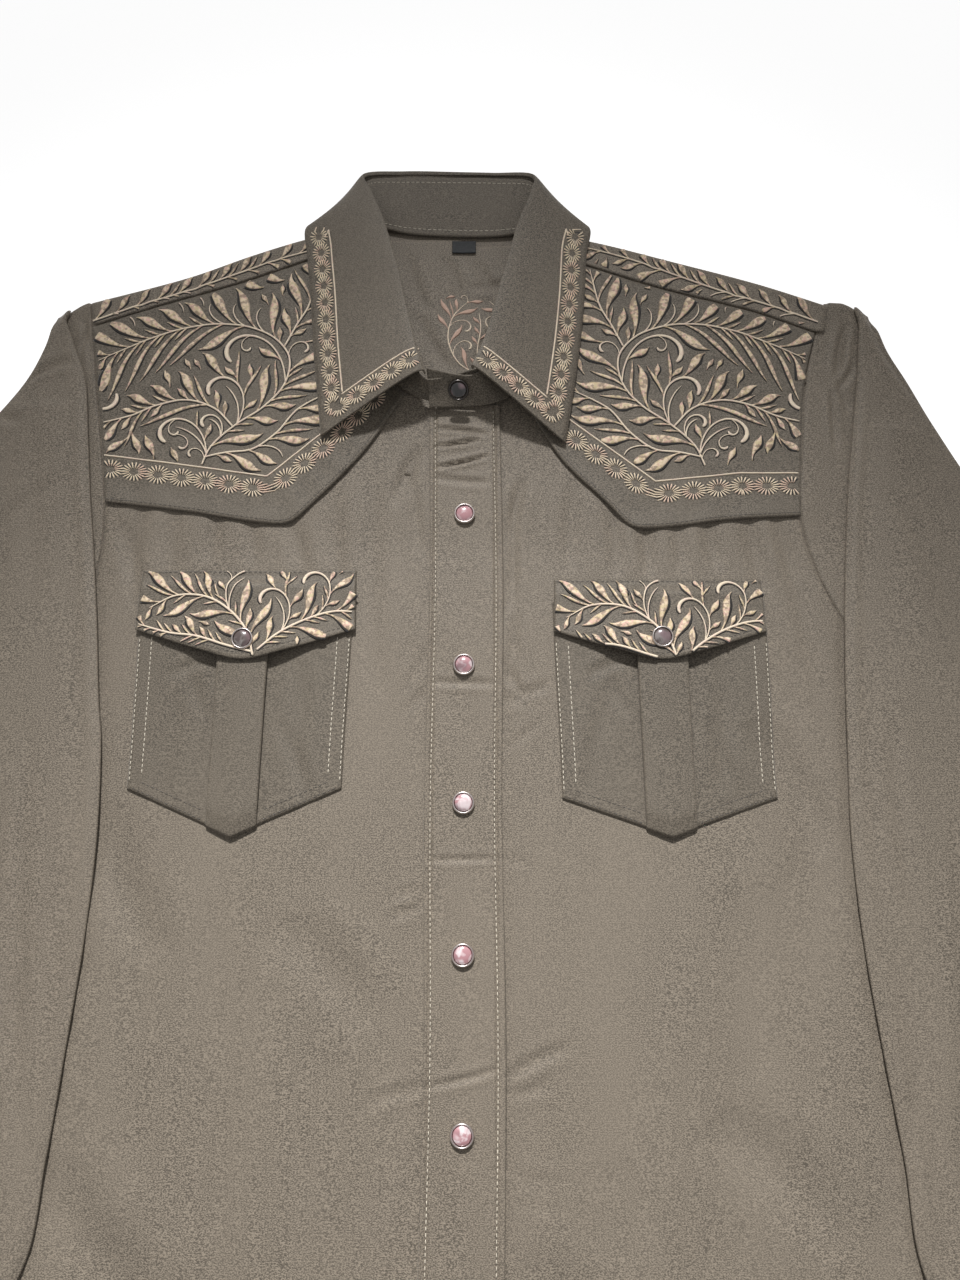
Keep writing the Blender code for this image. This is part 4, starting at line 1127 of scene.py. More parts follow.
@dataclass
class ChestPocket:
    """Patch pocket with a box pleat and a pointed flap."""

    lay: Lay
    wardrobe: Wardrobe
    side: Side
    centre: float
    half: float
    top: float
    corner: float
    tip: float
    flap_half: float
    flap_top: float
    flap_corner: float
    flap_tip: float
    lean: float
    pleat_half: float = 0.013
    pleat_under: float = 0.006

    def run(self, share: Array) -> tuple[Array, Array]:
        """Section across the pocket: distance from its middle and layers up, at share 0 to 1.

        The cloth runs flat, turns under at the pleat's root, and comes back over itself to its edge.

        Args:
            share: share of the way across.

        Returns:
            Distances from the middle, and layers up.
        """
        turn = self.pleat_half - self.pleat_under
        stops = [
            (self.half, 0.0), (turn + 0.0008, 0.0), (turn, 0.2), (turn, 0.8), (turn + 0.0008, 1.0),
            (self.pleat_half - 0.0008, 1.0), (self.pleat_half, 1.2), (self.pleat_half, 1.75),
            (self.pleat_half - 0.0010, 2.0), (0.0, 2.0),
        ]
        walk = np.array(stops + [(-x, level) for x, level in reversed(stops[:-1])])
        sizes = np.abs(np.diff(walk[:, 0])) + 0.0012 * np.abs(np.diff(walk[:, 1]))
        keys = np.concatenate([[0.0], np.cumsum(sizes)])
        found = hermite(keys / keys[-1], walk, 1 - share, False)
        return found[..., 0], found[..., 1]

    def at_x(self, away: Array, y: Array) -> Array:
        """Place across the page, away from the pocket's middle: it leans and widens upwards."""
        widened = away * (1 + 0.035 * ramp(y, self.corner, self.top)) / 1.0175
        return self.centre + widened + self.lean * (y - self.top)

    def bottom(self, away: Array) -> Array:
        """Lower edge: straight down from each corner to the tip, stepped down 0.8 mm under the pleat."""
        step = 0.0008 * ramp(np.abs(away), self.pleat_half + 0.001, self.pleat_half - 0.001)
        return blend(self.tip, self.corner, np.minimum(1.0, np.abs(away) / self.half)) - step

    def pocket_low(self, x: Array, y: Array) -> Array:
        """Top of the pocket's flat cloth, with its own folds.

        Args:
            x: across the page, metres.
            y: up the page, metres.

        Returns:
            Heights of the pocket's upper face.
        """
        s = self.centre * 1000
        folds = creases_of(
            (s + 38, 10 + self.top * 1000 - 124, s + 20, 60, 0.35, 4, 2),
            (s - 40, 16, s - 26, 78, 0.35, 5, -3), (s + 26, 20, s + 30, 92, 0.4, 5, 3),
            (s - 30, 88, s - 18, 60, 0.3, 4, 0), (s - 16, 92, s - 40, 82, 0.35, 3, 2),
        )
        soft = 0.6 * creased(self.lay.creases, x, y) + creased(folds, x, y)
        return self.lay.plain(x, y) + 2 * CLOTH + GAP + soft

    def patch(self) -> bpy.types.Object:
        """The pocket itself.

        Returns:
            The pocket.
        """
        u, v = np.linspace(0, 1, 190)[None], np.linspace(0, 1, 76)[:, None]
        away, level = self.run(u)
        away = away + 0 * v
        y = blend(self.bottom(away), self.top, v)
        x = self.at_x(away, y)
        pressed = 0.4 + 0.6 * ramp(v, 0.0, 0.09)
        middle = 0.0006 * ramp(level, 0.9, 2.0) * ramp(np.abs(away), self.pleat_half, 0.0)
        rise = level * STEP * pressed + middle
        open_out = 0.0006 * ramp(v, 0.15, 0.8) * ramp(level, 0.8, 1.6)
        z = self.pocket_low(x, y) + rise + open_out - VISIBLE_WALL / 2
        edge = np.minimum(y - self.bottom(away), self.half - np.abs(away))
        z = z - 0.0007 * (1 - ramp(edge, 0.0, 0.0014))
        # The pocket is in the darker copy of the twill: painted shade.
        return cloth_sheet(f"pocket_{self.side.word}", xyz(x, y, z), self.wardrobe.double, centred=True)

    def flap_edge(self, away: Array) -> Array:
        """Lower edge of the flap: nearly straight by its corners, rounded into the point.

        Args:
            away: distances from the flap's middle.

        Returns:
            Heights up the page.
        """
        share = np.abs(away) / self.flap_half
        rise = (np.sqrt(share**2 + 0.02) - 0.1414) / 0.8686
        return self.flap_tip + (self.flap_corner - self.flap_tip) * rise

    def flap_top_z(self, x: Array, y: Array) -> Array:
        """Top of the flap: over the pocket and its pleat, lifting between the snap and the corners.

        Args:
            x: across the page, metres.
            y: up the page, metres.

        Returns:
            Heights of the flap's upper face.
        """
        away = np.abs(x - self.centre)
        below = ramp(y, self.top + 0.011, self.top + 0.003)
        hump = 1 - ramp(away, self.pleat_half + 0.002, self.pleat_half + 0.022)
        lift = 0.0019 * ramp(y, self.flap_corner + 0.012, self.flap_tip)
        bow = np.sin(np.pi * np.clip(away / self.flap_half, 0, 1)) ** 2
        bowed = 0.0012 * bow * ramp(y, self.top, self.flap_corner)
        pucker = 0.00016 * np.sin(x * 210 + 2 * np.sin(y * 90)) * np.sin(y * 230)
        layers = STEP + BAND + below * STEP + 2 * STEP * hump * below
        return self.lay.plain(x, y) + layers + lift + bowed + pucker

    def flap(self) -> bpy.types.Object:
        """The embroidered flap.

        Returns:
            The flap.
        """
        u, v = np.linspace(-1, 1, 110)[None], np.linspace(0, 1, 60)[:, None]
        away = u * self.flap_half * (1 + 0.012 * (1 - v))
        y = blend(self.flap_edge(u * self.flap_half), self.flap_top, v)
        x = self.centre + away
        z = self.flap_top_z(x, y)
        edge = np.minimum(np.minimum(v * 0.035, (1 - v) * 0.035), (1 - np.abs(u)) * self.flap_half) + 0 * z
        z = z - 0.0005 * (1 - ramp(edge, 0.0, 0.0011))
        # The flap is in the darker copy of the twill: painted shade.
        return cloth_sheet(f"flap_{self.side.word}", xyz(x, y, z), self.wardrobe.double, wall=BAND * 0.8)

    def flap_outline(self) -> Array:
        """Corner points of the flap.

        Returns:
            Corners of the outline, n by 2.
        """
        away = np.linspace(-1, 1, 21) * self.flap_half
        low = pairs(self.centre + away, self.flap_edge(away))
        high = [(self.centre + hand * self.flap_half, self.flap_top) for hand in (1, -1)]
        return np.concatenate([low, high])

    def build(self) -> None:
        """Pocket and flap."""
        self.patch()
        self.flap()


@dataclass(frozen=True)
class SleeveCut:
    """Stations down a sleeve, in millimetres: distances from the centre front, and the upper layer's rise."""

    y: tuple[float, ...]
    fold: tuple[float, ...]
    turn: tuple[float, ...]
    outer: tuple[float, ...]
    rise: tuple[float, ...]

    def at(self, name: str, y: Array) -> Array:
        """One column, in metres, read at y."""
        return hermite(np.array(self.y[::-1]) / MM, np.array(getattr(self, name)[::-1]) / MM, y)


RIGHT_SLEEVE = SleeveCut(
    y=(303.5, 296, 279, 256, 229, 190, 150, 115, 90, 69, 50, 0, -50, -100, -150, -195, -240),
    fold=(230, 232, 226, 217, 213, 208, 202, 197, 194, 191.5, 188.5, 186, 187.5, 191.5, 196, 202, 232),
    turn=(234.5, 236.5, 237, 233, 229, 227, 229, 235, 243, 252, 252, 250.5, 250, 250, 251, 253, 258),
    outer=(237.5, 240, 243, 252, 270, 297, 324, 345, 357, 365, 371, 381.5, 384, 377, 367, 359, 350),
    rise=(0.2, 0.6, 1.2, 1.8, 2.2, 2.6, 3, 3, 3, 3, 3, 3, 3, 2.8, 2.6, 2.4, 1.2),
)
LEFT_SLEEVE = SleeveCut(
    y=(301.5, 292, 275, 256, 229, 190, 150, 115, 90, 69, 50, 0, -50, -100, -150, -195, -240),
    fold=(227, 228.5, 226.5, 224, 219.5, 213, 208, 204, 202, 200.5, 199.5, 197, 198.5, 203, 208.5, 212, 232),
    turn=(231, 234, 237, 240, 236, 232, 233, 238, 244, 252, 252, 250.5, 250, 250, 252, 254, 258),
    outer=(235, 239, 244, 253, 265, 285, 312, 337, 352, 363, 370, 381.5, 384, 379, 369, 360, 350),
    rise=(0.2, 0.6, 1.2, 1.8, 2.2, 2.6, 3, 3, 3, 3, 3, 3, 3, 2.8, 2.6, 2.4, 1.2),
)


@dataclass
class Sleeve:
    """One sleeve, pressed flat beside the body, with its front fold over the body and a cuff."""

    lay: Lay
    wardrobe: Wardrobe
    side: Side
    cut: SleeveCut
    creases: tuple[Crease, ...]
    end_y: float = -0.240
    cuff_end_y: float = -0.304
    cuff_inner: float = 0.232
    cuff_outer: float = 0.350

    def under(self, w: Array, y: Array, start: Array, turn: Array) -> Array:
        """Middle of the cloth just under the sleeve's folded front, at distance w from the centre.

        Args:
            w: distance out from the centre front.
            y: up the page, metres.
            start: where the sleeve leaves the back.
            turn: where it turns.

        Returns:
            Heights of the under layer.
        """
        edge = self.lay.side_x(y)
        off_body = ramp(w - edge, 0.004, 0.016)
        beside = blend(self.lay.plain(np.minimum(w, edge), y) + CLOTH / 2, CLOTH / 2 - STEP, off_body)
        seam = self.lay.plain(start, y) + CLOTH / 2
        over = blend(seam, STEP + CLOTH / 2, np.clip((w - start) / np.maximum(turn - start, 1e-6), 0, 1))
        at_hole = np.where(w <= start, self.lay.plain(w, y) + CLOTH / 2, over)
        return np.where(y > self.lay.underarm + 0.004, at_hole, beside)

    def points(self) -> Array:
        """Middle of the sleeve's cloth.

        Returns:
            Grid of points, rows down the sleeve and columns from the front seam round to the back.
        """
        y = np.concatenate([np.linspace(self.end_y, 0.060, 110), np.linspace(0.0625, 0.3030, 92)])[:, None]
        fold, turn, outer, rise = (self.cut.at(name, y) for name in ("fold", "turn", "outer", "rise"))
        pleated = y > self.lay.underarm + 0.004
        hole = armhole_x(self.side, y)
        start = np.where(pleated, hole + 2 * GAP, turn - 0.006)
        end = np.where(pleated, hole + 2 * GAP, turn + 2 * GAP)
        radius = STEP / 2
        halves = np.pi * np.linspace(0, 1, 9)[None]

        def under(w: Array) -> Array:
            """Cloth just below, at this sleeve's rows.

            Args:
                w: distance out from the centre front.

            Returns:
                Heights of the under layer.
            """
            return self.under(w, y, start, turn)

        def upper(w: Array) -> Array:
            """Upper layer, from on top of the folds at its inner side to the outer edge.

            Args:
                w: distances out from the centre front.

            Returns:
                Heights of the upper layer.
            """
            far = CLOTH / 2 + STEP
            wide = turn + 0.030 < outer
            out = np.where(wide, ramp(w - turn, 0.0, 0.030), ramp((w - fold) / (outer - fold), 0.0, 1.0))
            over = blend(under(np.minimum(w, turn)) + 2 * STEP, far, out)
            lofted = np.sin(np.pi * np.clip((w - fold) / (outer - fold), 0, 1)) ** 0.6
            edge = 0.0010 * np.exp(-(((w - fold - 0.0040) / 0.0034) ** 2)) * ramp(y, 0.27, 0.20)
            return np.where(pleated, over, under(w) + 2 * STEP) + rise * lofted + edge

        def lower(w: Array) -> Array:
            """Lower layer, on the surface that the shirt lies on."""
            return np.where(pleated, CLOTH / 2 + 0 * w, under(w) + STEP)

        share = np.linspace(0, 1, 36)[None] ** 1.6
        tuck = 0.0018
        strip_w = np.where(
            pleated, blend(start - tuck, turn - radius, share), blend(turn, turn - 0.002, share)
        )
        sewn_in = 0.0012 * ramp(strip_w, hole + 0.0019, hole + 0.0005)
        strip_z = np.where(pleated, under(strip_w) - sewn_in, under(turn) + STEP)
        held_down = np.sin(np.pi * share) ** 0.5 * ramp(strip_w, fold - 0.001, fold - 0.004)
        held_down = np.where(pleated, held_down, 0.0)
        strip_z = strip_z + held_down * creased(self.creases, self.side.value * strip_w, y + 0 * strip_w)
        mid = under(turn - radius) + radius
        turn_w = np.where(
            pleated, turn - radius + radius * np.sin(halves), turn - 0.002 - 0.002 * halves / np.pi
        )
        turn_z = np.where(pleated, mid - radius * np.cos(halves), under(turn) + STEP)
        share = np.linspace(0, 1, 16)[None]
        back_w = blend(np.where(pleated, turn - radius, turn - 0.004), fold + radius, share)
        back_z = under(back_w) + STEP
        mid = under(fold + radius) + STEP + radius
        fold_w = fold + radius - radius * np.sin(halves)
        fold_z = mid - radius * np.cos(halves)
        upper_w = blend(fold + radius, outer - radius, np.linspace(0, 1, 72)[None])
        upper_z = upper(upper_w)
        high, low = upper(outer - radius), lower(outer - radius)
        outer_w = outer - radius + radius * np.sin(halves)
        outer_z = (high + low) / 2 + (high - low) / 2 * np.cos(halves)
        lower_w = blend(outer - radius, end, 1 - (1 - np.linspace(0, 1, 40)[None]) ** 2)
        lower_z = lower(lower_w)
        calm = ramp(upper_w - fold, 0.0, 0.0022) * ramp(outer - upper_w, 0.0, 0.004)
        upper_z = upper_z + calm * creased(self.creases, self.side.value * upper_w, y + 0 * upper_w)
        stretches = (
            (strip_w, strip_z), (turn_w, turn_z), (back_w, back_z), (fold_w, fold_z),
            (upper_w, upper_z), (outer_w, outer_z), (lower_w, lower_z),
        )
        parts = [
            xyz(self.side.value * w, self.sloped(w, y), z + 0 * w)[:, (0 if k == 0 else 1):]
            for k, (w, z) in enumerate(stretches)
        ]
        return np.concatenate(parts, axis=1)

    def sloped(self, w: Array, y: Array) -> Array:
        """Rows near the sleeve's head, raised at the armhole seam to meet the shoulder's line."""
        return y + ramp(y, 0.285, 0.3035) * blend(0.0032, -0.0062, ramp(w, 0.2185, 0.2390)) + 0 * w

    def cuff_points(self) -> Array:
        """Middle of the cuff's cloth: a flat band whose one end laps over the other.

        Returns:
            Grid of points, rows down the cuff.
        """
        radius = 0.0012
        low, high, lap = BAND / 2, BAND / 2 + 2 * radius, BAND / 2 + 3 * radius + GAP + 0.0003
        middle = (self.cuff_inner + self.cuff_outer) / 2
        turned = np.linspace(0, np.pi, 8)
        legs = [
            pairs(np.linspace(middle - 0.008, self.cuff_outer - radius, 24), np.full(24, high)),
            pairs(
                self.cuff_outer - radius + radius * np.sin(turned), low + radius + radius * np.cos(turned)
            )[1:],
            pairs(np.linspace(self.cuff_outer - radius, self.cuff_inner + radius, 40), np.full(40, low))[1:],
            pairs(
                self.cuff_inner + radius - radius * np.sin(turned),
                (low + lap) / 2 - (lap - low) / 2 * np.cos(turned),
            )[1:],
            pairs(np.linspace(self.cuff_inner + radius, middle + 0.010, 30), np.full(30, lap))[1:],
        ]
        walk = np.concatenate(legs)[None]
        y = np.linspace(self.cuff_end_y, self.end_y - 2 * GAP, 34)[:, None]
        w = walk[..., 0] + 0 * y
        edge = self.lay.side_x(y)
        off_body = ramp(w - edge, 0.004, 0.016)
        rest = blend(self.lay.plain(np.minimum(w, edge), y) + CLOTH + GAP, 0.0, off_body)
        return xyz(self.side.value * w, y + 0 * w, walk[..., 1] + rest)

    def build(self) -> None:
        """Sleeve and cuff."""
        word, twill = self.side.word, self.wardrobe.twill
        cloth_sheet(f"sleeve_{word}", self.points(), twill, centred=True)
        cloth_sheet(f"cuff_{word}", self.cuff_points(), twill, wall=CLOTH, centred=True)


@dataclass(frozen=True)
class CollarStation:
    """Points round the neck, in millimetres: neck seam, stand's top, leaf's edge, and the way it rolls."""

    neck: tuple[float, float, float]
    top: tuple[float, float, float]
    roll: tuple[float, float, float]
    edge: tuple[float, float, float] | None = None


COLLAR_STATIONS = tuple(CollarStation(*row) for row in (
    ((10, 239, 7), (8, 256, 18.5), (0, 0, 1)),
    ((-16, 240.5, 7), (-21, 249, 18), (0, 0, 1), (-80.5, 219.5, 7.5)),
    ((-36, 250, 7), (-28.5, 264, 17.5), (0, 0, 1), (-83, 241, 6.8)),
    ((-57, 276, 6.5), (-36.5, 292, 16), (0, 0, 1), (-87, 274, 6.5)),
    ((-67, 308, 6), (-43, 320, 14.5), (0, 0, 1), (-90, 308, 6.5)),
    ((-70, 334, 6.2), (-50, 348, 12), (-1, 0, 3), (-93, 335, 6.5)),
    ((-69, 354, 6.4), (-57, 372, 10), (-2, 0, 1), (-94, 355.5, 5.8)),
    ((-58, 358, 3.6), (-59, 386.5, 6.8), (-2, 1, -1), (-74, 362, 1.4)),
    ((-35, 353, 2.6), (-37, 390.5, 4.4), (0, 1, -2), (-40, 358, 1)),
    ((-9, 351, 2.6), (-10, 390.5, 4.2), (0, 1, -2), (-10, 357, 1)),
    ((18, 351, 2.6), (16, 390, 4.4), (0, 1, -2), (18, 356.5, 1)),
    ((46, 354, 3.6), (39, 386, 6.8), (2, 1, -1), (54, 361, 1.4)),
    ((57, 350, 6.4), (40, 371.5, 10), (2, 0, 1), (73, 355, 5.8)),
    ((58, 331, 6.2), (33.5, 348, 12), (1, 0, 3), (71, 335, 6.5)),
    ((57, 305, 6), (27.5, 321, 14.5), (0, 0, 1), (69, 306, 6.5)),
    ((50, 276, 6.5), (21, 296, 16.5), (0, 0, 1), (65.5, 274, 6.5)),
    ((33, 250, 7), (14, 270, 18.5), (0, 0, 1), (60.5, 241, 6.8)),
    ((13, 238.5, 8.5), (5.5, 250.5, 20.5), (0, 0, 1), (56, 215.5, 7.5)),
    ((-20, 236.5, 8.5), (-21, 254.5, 20.5), (0, 0, 1)),
))


def rounded(points: Sequence, t: Array) -> Array:
    """Catmull-Rom curve through points at even steps, read at t from 0 to 1.

    Args:
        points: the points it goes through.
        t: where to read it, 0 to 1.

    Returns:
        Points of the curve.
    """
    p = np.asarray(points, float)
    spot = np.clip(np.asarray(t, float), 0, 1) * (len(p) - 1)
    i = np.minimum(len(p) - 2, spot.astype(int))
    s = (spot - i)[..., None]
    a, b, c, d = (p[np.clip(i + k, 0, len(p) - 1)] for k in (-1, 0, 1, 2))
    return 0.5 * (2 * b + (c - a) * s + (2 * a - 5 * b + 4 * c - d) * s**2 + (3 * b - a - 3 * c + d) * s**3)


@dataclass
class Collar:
    """Turned-down collar: a stand round the neck, and the leaf that rolls off it to two long points."""

    wardrobe: Wardrobe
    first: int = 1
    last: int = 17
    reach: float = 0.0045
    roll: float = 0.0030

    def curve(self, name: str, t: Array, leaf: bool) -> Array:
        """One column of the stations, round the stand or round the leaf."""
        rows = COLLAR_STATIONS[self.first : self.last + 1] if leaf else COLLAR_STATIONS
        return rounded([getattr(row, name) for row in rows], t) / MM

    def stand_at(self, t: Array, v: Array) -> Array:
        """Middle of the stand: straight up from the neck seam, bowed out 0.8 mm.

        Args:
            t: share of the way round.
            v: share of the way up.

        Returns:
            Points of the stand's middle.
        """
        neck, top = self.curve("neck", t, False), self.curve("top", t, False)
        out = unit(np.cross(np.gradient(neck, axis=0), top - neck))
        bow = 0.0008 * np.sin(np.pi * v)[..., None]
        return neck * (1 - v[..., None]) + top * v[..., None] + out * bow

    def stand_point(self, t: Array, v: Array) -> Array:
        """Middle of the stand at loose shares, without its bow."""
        neck, top = self.curve("neck", t, False), self.curve("top", t, False)
        return neck * (1 - v[..., None]) + top * v[..., None]

    def stand(self) -> bpy.types.Object:
        """The stand, its ends lapped at the front.

        Returns:
            The stand.
        """
        t, v = np.meshgrid(np.linspace(0, 1, 260), np.linspace(0, 1, 26), indexing="ij")
        points = self.stand_at(t, v).transpose(1, 0, 2)
        # The stand is in the darker copy of the twill: painted shade.
        return cloth_sheet("collar_stand", points, self.wardrobe.double, wall=0.0009, centred=True)

    def leaf_at(self, t: Array, v: Array) -> Array:
        """Middle of the leaf: a Bezier curve from the stand's top, rolling over to the free edge.

        Args:
            t: share of the way round, from the right point to the left one.
            v: share of the way from the stand to the free edge.

        Returns:
            Points, in the shape of t with 3 added.
        """
        seam, foot, free, lift = (self.curve(name, t, True) for name in ("top", "neck", "edge", "roll"))
        along, lift = unit(seam - foot), unit(lift)
        begin = seam + along * (BAND / 2 + 6 * GAP) + lift * 0.0014
        crest = begin + along * self.reach
        over = crest + lift * self.roll
        s, v = 1 - v[..., None], v[..., None]
        point = begin * s**3 + crest * (3 * s * s * v) + over * (3 * s * v * v) + free * v**3
        ripple = 0.0005 * np.sin(t[..., None] * 31) * np.sin(np.pi * v) * np.array([0.0, 0.0, 1.0])
        return point + ripple

    def leaf(self) -> bpy.types.Object:
        """The leaf.

        Returns:
            The leaf.
        """
        t, v = np.meshgrid(np.linspace(0, 1, 330), np.linspace(0, 1, 60), indexing="ij")
        points = self.leaf_at(t, v).transpose(1, 0, 2)
        # The leaf is in the darker copy of the twill: painted shade.
        return cloth_sheet("collar_leaf", points, self.wardrobe.double, wall=CLOTH, centred=True)

    def build(self) -> None:
        """Stand and leaf."""
        self.stand()
        self.leaf()


# Embroidery: strokes drawn on the flat, then laid on the cloth


class Kind(Enum):
    """How wide a stroke is along its run, as (share of the run, share of the half width)."""

    STEM = ((0.0, 0.9), (0.1, 1.0), (0.8, 0.85), (1.0, 0.3))
    HOOK = ((0.0, 0.35), (0.45, 0.42), (0.72, 0.66), (0.88, 1.0), (0.96, 0.86), (1.0, 0.45))
    LEAF = ((0.0, 0.14), (0.22, 0.26), (0.42, 0.66), (0.60, 1.0), (0.74, 0.86), (0.88, 0.36), (1.0, 0.05))
    BLADE = ((0.0, 0.34), (0.35, 0.8), (0.58, 1.0), (0.82, 0.56), (1.0, 0.1))


@dataclass(frozen=True)
class Stroke:
    """One embroidered stroke: centre line on the flat, and its half width at each point. Metres."""

    line: Array
    half: Array
    kind: Kind | None = None

    @property
    def leafy(self) -> bool:
        """True for the broad strokes."""
        return self.kind in (Kind.LEAF, Kind.BLADE)


def profile(kind: Kind, count: int) -> Array:
    """Shares of the half width of a stroke of some points, eased between the kind's rows."""
    shares = np.array(kind.value)
    return hermite(shares[:, 0], shares[:, 1], np.linspace(0, 1, count))


@dataclass(frozen=True)
class Shape:
    """A stroke off a stem: length and width in mm, bend and curl in degrees away from the stem."""

    kind: Kind
    length: float
    bend: float
    curl: float
    width: float
    turn: float = 24.0

    def drawn(self, start: Array, heading: float, hand: int) -> Stroke:
        """The stroke from a start, its heading at share s of it heading + hand (turn + bend s + curl s^3).

        Args:
            start: where it begins, metres.
            heading: way it sets off, degrees.
            hand: 1 or -1, the side it bends to.

        Returns:
            The stroke.
        """
        count = max(12, int(self.length / 0.8))
        s = np.linspace(0, 1, count)
        way = np.radians(heading + hand * (self.turn + self.bend * s + self.curl * s**3))
        run = pairs(np.cos(way), np.sin(way)) * self.length / 1000 / (count - 1)
        line = np.asarray(start, float) + np.concatenate([[[0.0, 0.0]], np.cumsum(run[:-1], axis=0)])
        return Stroke(line, profile(self.kind, count) * self.width / 2000, self.kind)


@dataclass
class Vine:
    """Foliage grown from stems: each order of shoots leaves the last, wherever there is room for one."""

    stems: tuple[tuple[tuple[float, float], ...], ...]
    field_shape: Array
    grow: float = 1.0
    gap: float = 0.00095
    width: float = 1.25
    made: list[Stroke] = field(default_factory=list)

    scrolls: tuple[Shape, ...] = (
        Shape(Kind.HOOK, 66, 84, 150, 2.9),
        Shape(Kind.HOOK, 52, 100, 150, 2.7),
        Shape(Kind.HOOK, 41, 112, 150, 2.5),
        Shape(Kind.LEAF, 31, 84, -96, 5.8),
        Shape(Kind.BLADE, 40, 58, -40, 2.6),
        Shape(Kind.HOOK, 34, 126, 140, 2.3),
        Shape(Kind.LEAF, 24, 76, -96, 5.4),
        Shape(Kind.HOOK, 28, 130, 140, 2.2),
        Shape(Kind.LEAF, 19, 70, -90, 4.8),
        Shape(Kind.BLADE, 24, 60, -50, 2.0),
        Shape(Kind.HOOK, 22, 130, 140, 1.7),
        Shape(Kind.LEAF, 14, 60, -80, 3.8),
    )
    leaves: tuple[Shape, ...] = (
        Shape(Kind.LEAF, 22, 70, -92, 5.2),
        Shape(Kind.HOOK, 28, 110, 150, 2.0),
        Shape(Kind.BLADE, 22, 50, -40, 2.0, 20.0),
        Shape(Kind.LEAF, 16, 62, -84, 4.4),
        Shape(Kind.STEM, 18, 60, 40, 0.9, 16.0),
        Shape(Kind.HOOK, 17, 120, 140, 1.5),
        Shape(Kind.LEAF, 11, 56, -70, 3.2),
        Shape(Kind.BLADE, 11, 40, -30, 1.5),
    )

    def free(self, stroke: Stroke, root: float) -> bool:
        """True where a stroke lies in the field and, past its root, clear of every other.

        Args:
            stroke: the stroke to try.
            root: points at its start to leave out.

        Returns:
            True where it fits.
        """
        if not inside(self.field_shape, stroke.line[3:]).all():
            return False
        run = np.linalg.norm(stroke.line - stroke.line[0], axis=1)
        tail = np.flatnonzero(run > root)
        tail = np.arange(tail[0] if len(tail) else 0, len(run))
        gap = self.gap + stroke.half[tail] + 0.0006 * ramp(run[tail], root, root + 0.004)
        away = np.linalg.norm(stroke.line[tail][:, None] - self.spots[None], axis=2) - self.halves[None]
        if (away.min(axis=1) < gap).any():
            return False
        itself = np.linalg.norm(stroke.line[:, None] - stroke.line[None], axis=2)
        apart = np.abs(np.arange(len(run))[:, None] - np.arange(len(run))[None]) > len(run) // 3
        return bool(itself[apart].min() > 0.0026)

    def add(self, stroke: Stroke) -> None:
        """Keeps a stroke.

        Args:
            stroke: the stroke to keep.
        """
        self.made.append(stroke)
        self.spots = np.concatenate([self.spots, stroke.line])
        self.halves = np.concatenate([self.halves, stroke.half])

    def sprout(
        self, parents: Sequence[Stroke], shapes: Sequence[Shape], pitch: float, order: int
    ) -> list[Stroke]:
        """Shoots off some strokes, to either side in turn, the longest that fits at each joint.

        Args:
            parents: strokes to shoot from.
            shapes: what may be drawn, longest first.
            pitch: distance between joints on a parent.
            order: how many joints off the stems, which shifts the choice.

        Returns:
            The new strokes.
        """
        new = []
        for n, parent in enumerate(parents):
            size = len(parent.line)
            run = walked(parent.line)
            joints = np.arange(pitch * 0.55, run[-1] * (0.97 if order == 1 else 0.66), pitch)
            way = np.degrees(np.unwrap(np.arctan2(*np.gradient(parent.line, axis=0).T[::-1])))
            for k, joint in enumerate(joints):
                for hand in ((1, -1) if (k + n) % 2 else (-1, 1)):
                    at = joint + (0.0 if hand > 0 else pitch * 0.4)
                    i = min(size - 2, int(np.searchsorted(run, at)))
                    first = (k * 2 + n + (hand > 0)) % 4
                    for shape in (*shapes[first:], *shapes[:first]):
                        length, width = shape.length * self.grow, shape.width * self.grow
                        grown = Shape(shape.kind, length, shape.bend, shape.curl, width, shape.turn)
                        stroke = grown.drawn(parent.line[i], float(way[i]), hand)
                        if self.free(stroke, 0.0052 * self.grow):
                            self.add(stroke)
                            new.append(stroke)
                            self.double(grown, stroke, parent.line[i], float(way[i]), hand)
                            break
        return new

    def double(self, shape: Shape, stroke: Stroke, start: Array, heading: float, hand: int) -> None:
        """Thinner line inside the turn of a long hook or blade, where it fits.

        Args:
            shape: shape of the first stroke.
            stroke: the first stroke; not used.
            start: where it begins.
            heading: way it sets off, degrees.
            hand: side it bends to.
        """
        if shape.kind is Kind.LEAF or shape.length < 24 * self.grow:
            return
        for share in (0.72, 0.5):
            bend, width = shape.bend * share * 1.25, 0.95 * self.grow
            twin = Shape(Kind.STEM, shape.length * share, bend, 0.0, width, shape.turn + 14)
            line = twin.drawn(start, heading, hand)
            if self.free(line, 0.0100 * self.grow):
                self.add(line)
                return

    def scatter(self) -> None:
        """Small loose commas wherever the field is still bare."""
        low, high = self.field_shape.min(axis=0), self.field_shape.max(axis=0)
        for k, y in enumerate(np.arange(low[1], high[1], 0.0028)):
            for j, x in enumerate(np.arange(low[0], high[0], 0.0028)):
                if np.linalg.norm(self.spots - np.array([x, y]), axis=1).min() < 0.0034 * self.grow:
                    continue
                for length, bend in ((17, 80), (12, 60), (8, 50)):
                    width = (1.2 + length * 0.2) * self.grow
                    shape = Shape(Kind.LEAF, length * self.grow, bend, -bend, width, 0.0)
                    hand = 1 if (k + j) % 2 else -1
                    stroke = shape.drawn((x, y), 50 + 60 * math.sin(1.7 * k + 2.9 * j), hand)
                    if self.free(stroke, 0.0):
                        self.add(stroke)
                        break

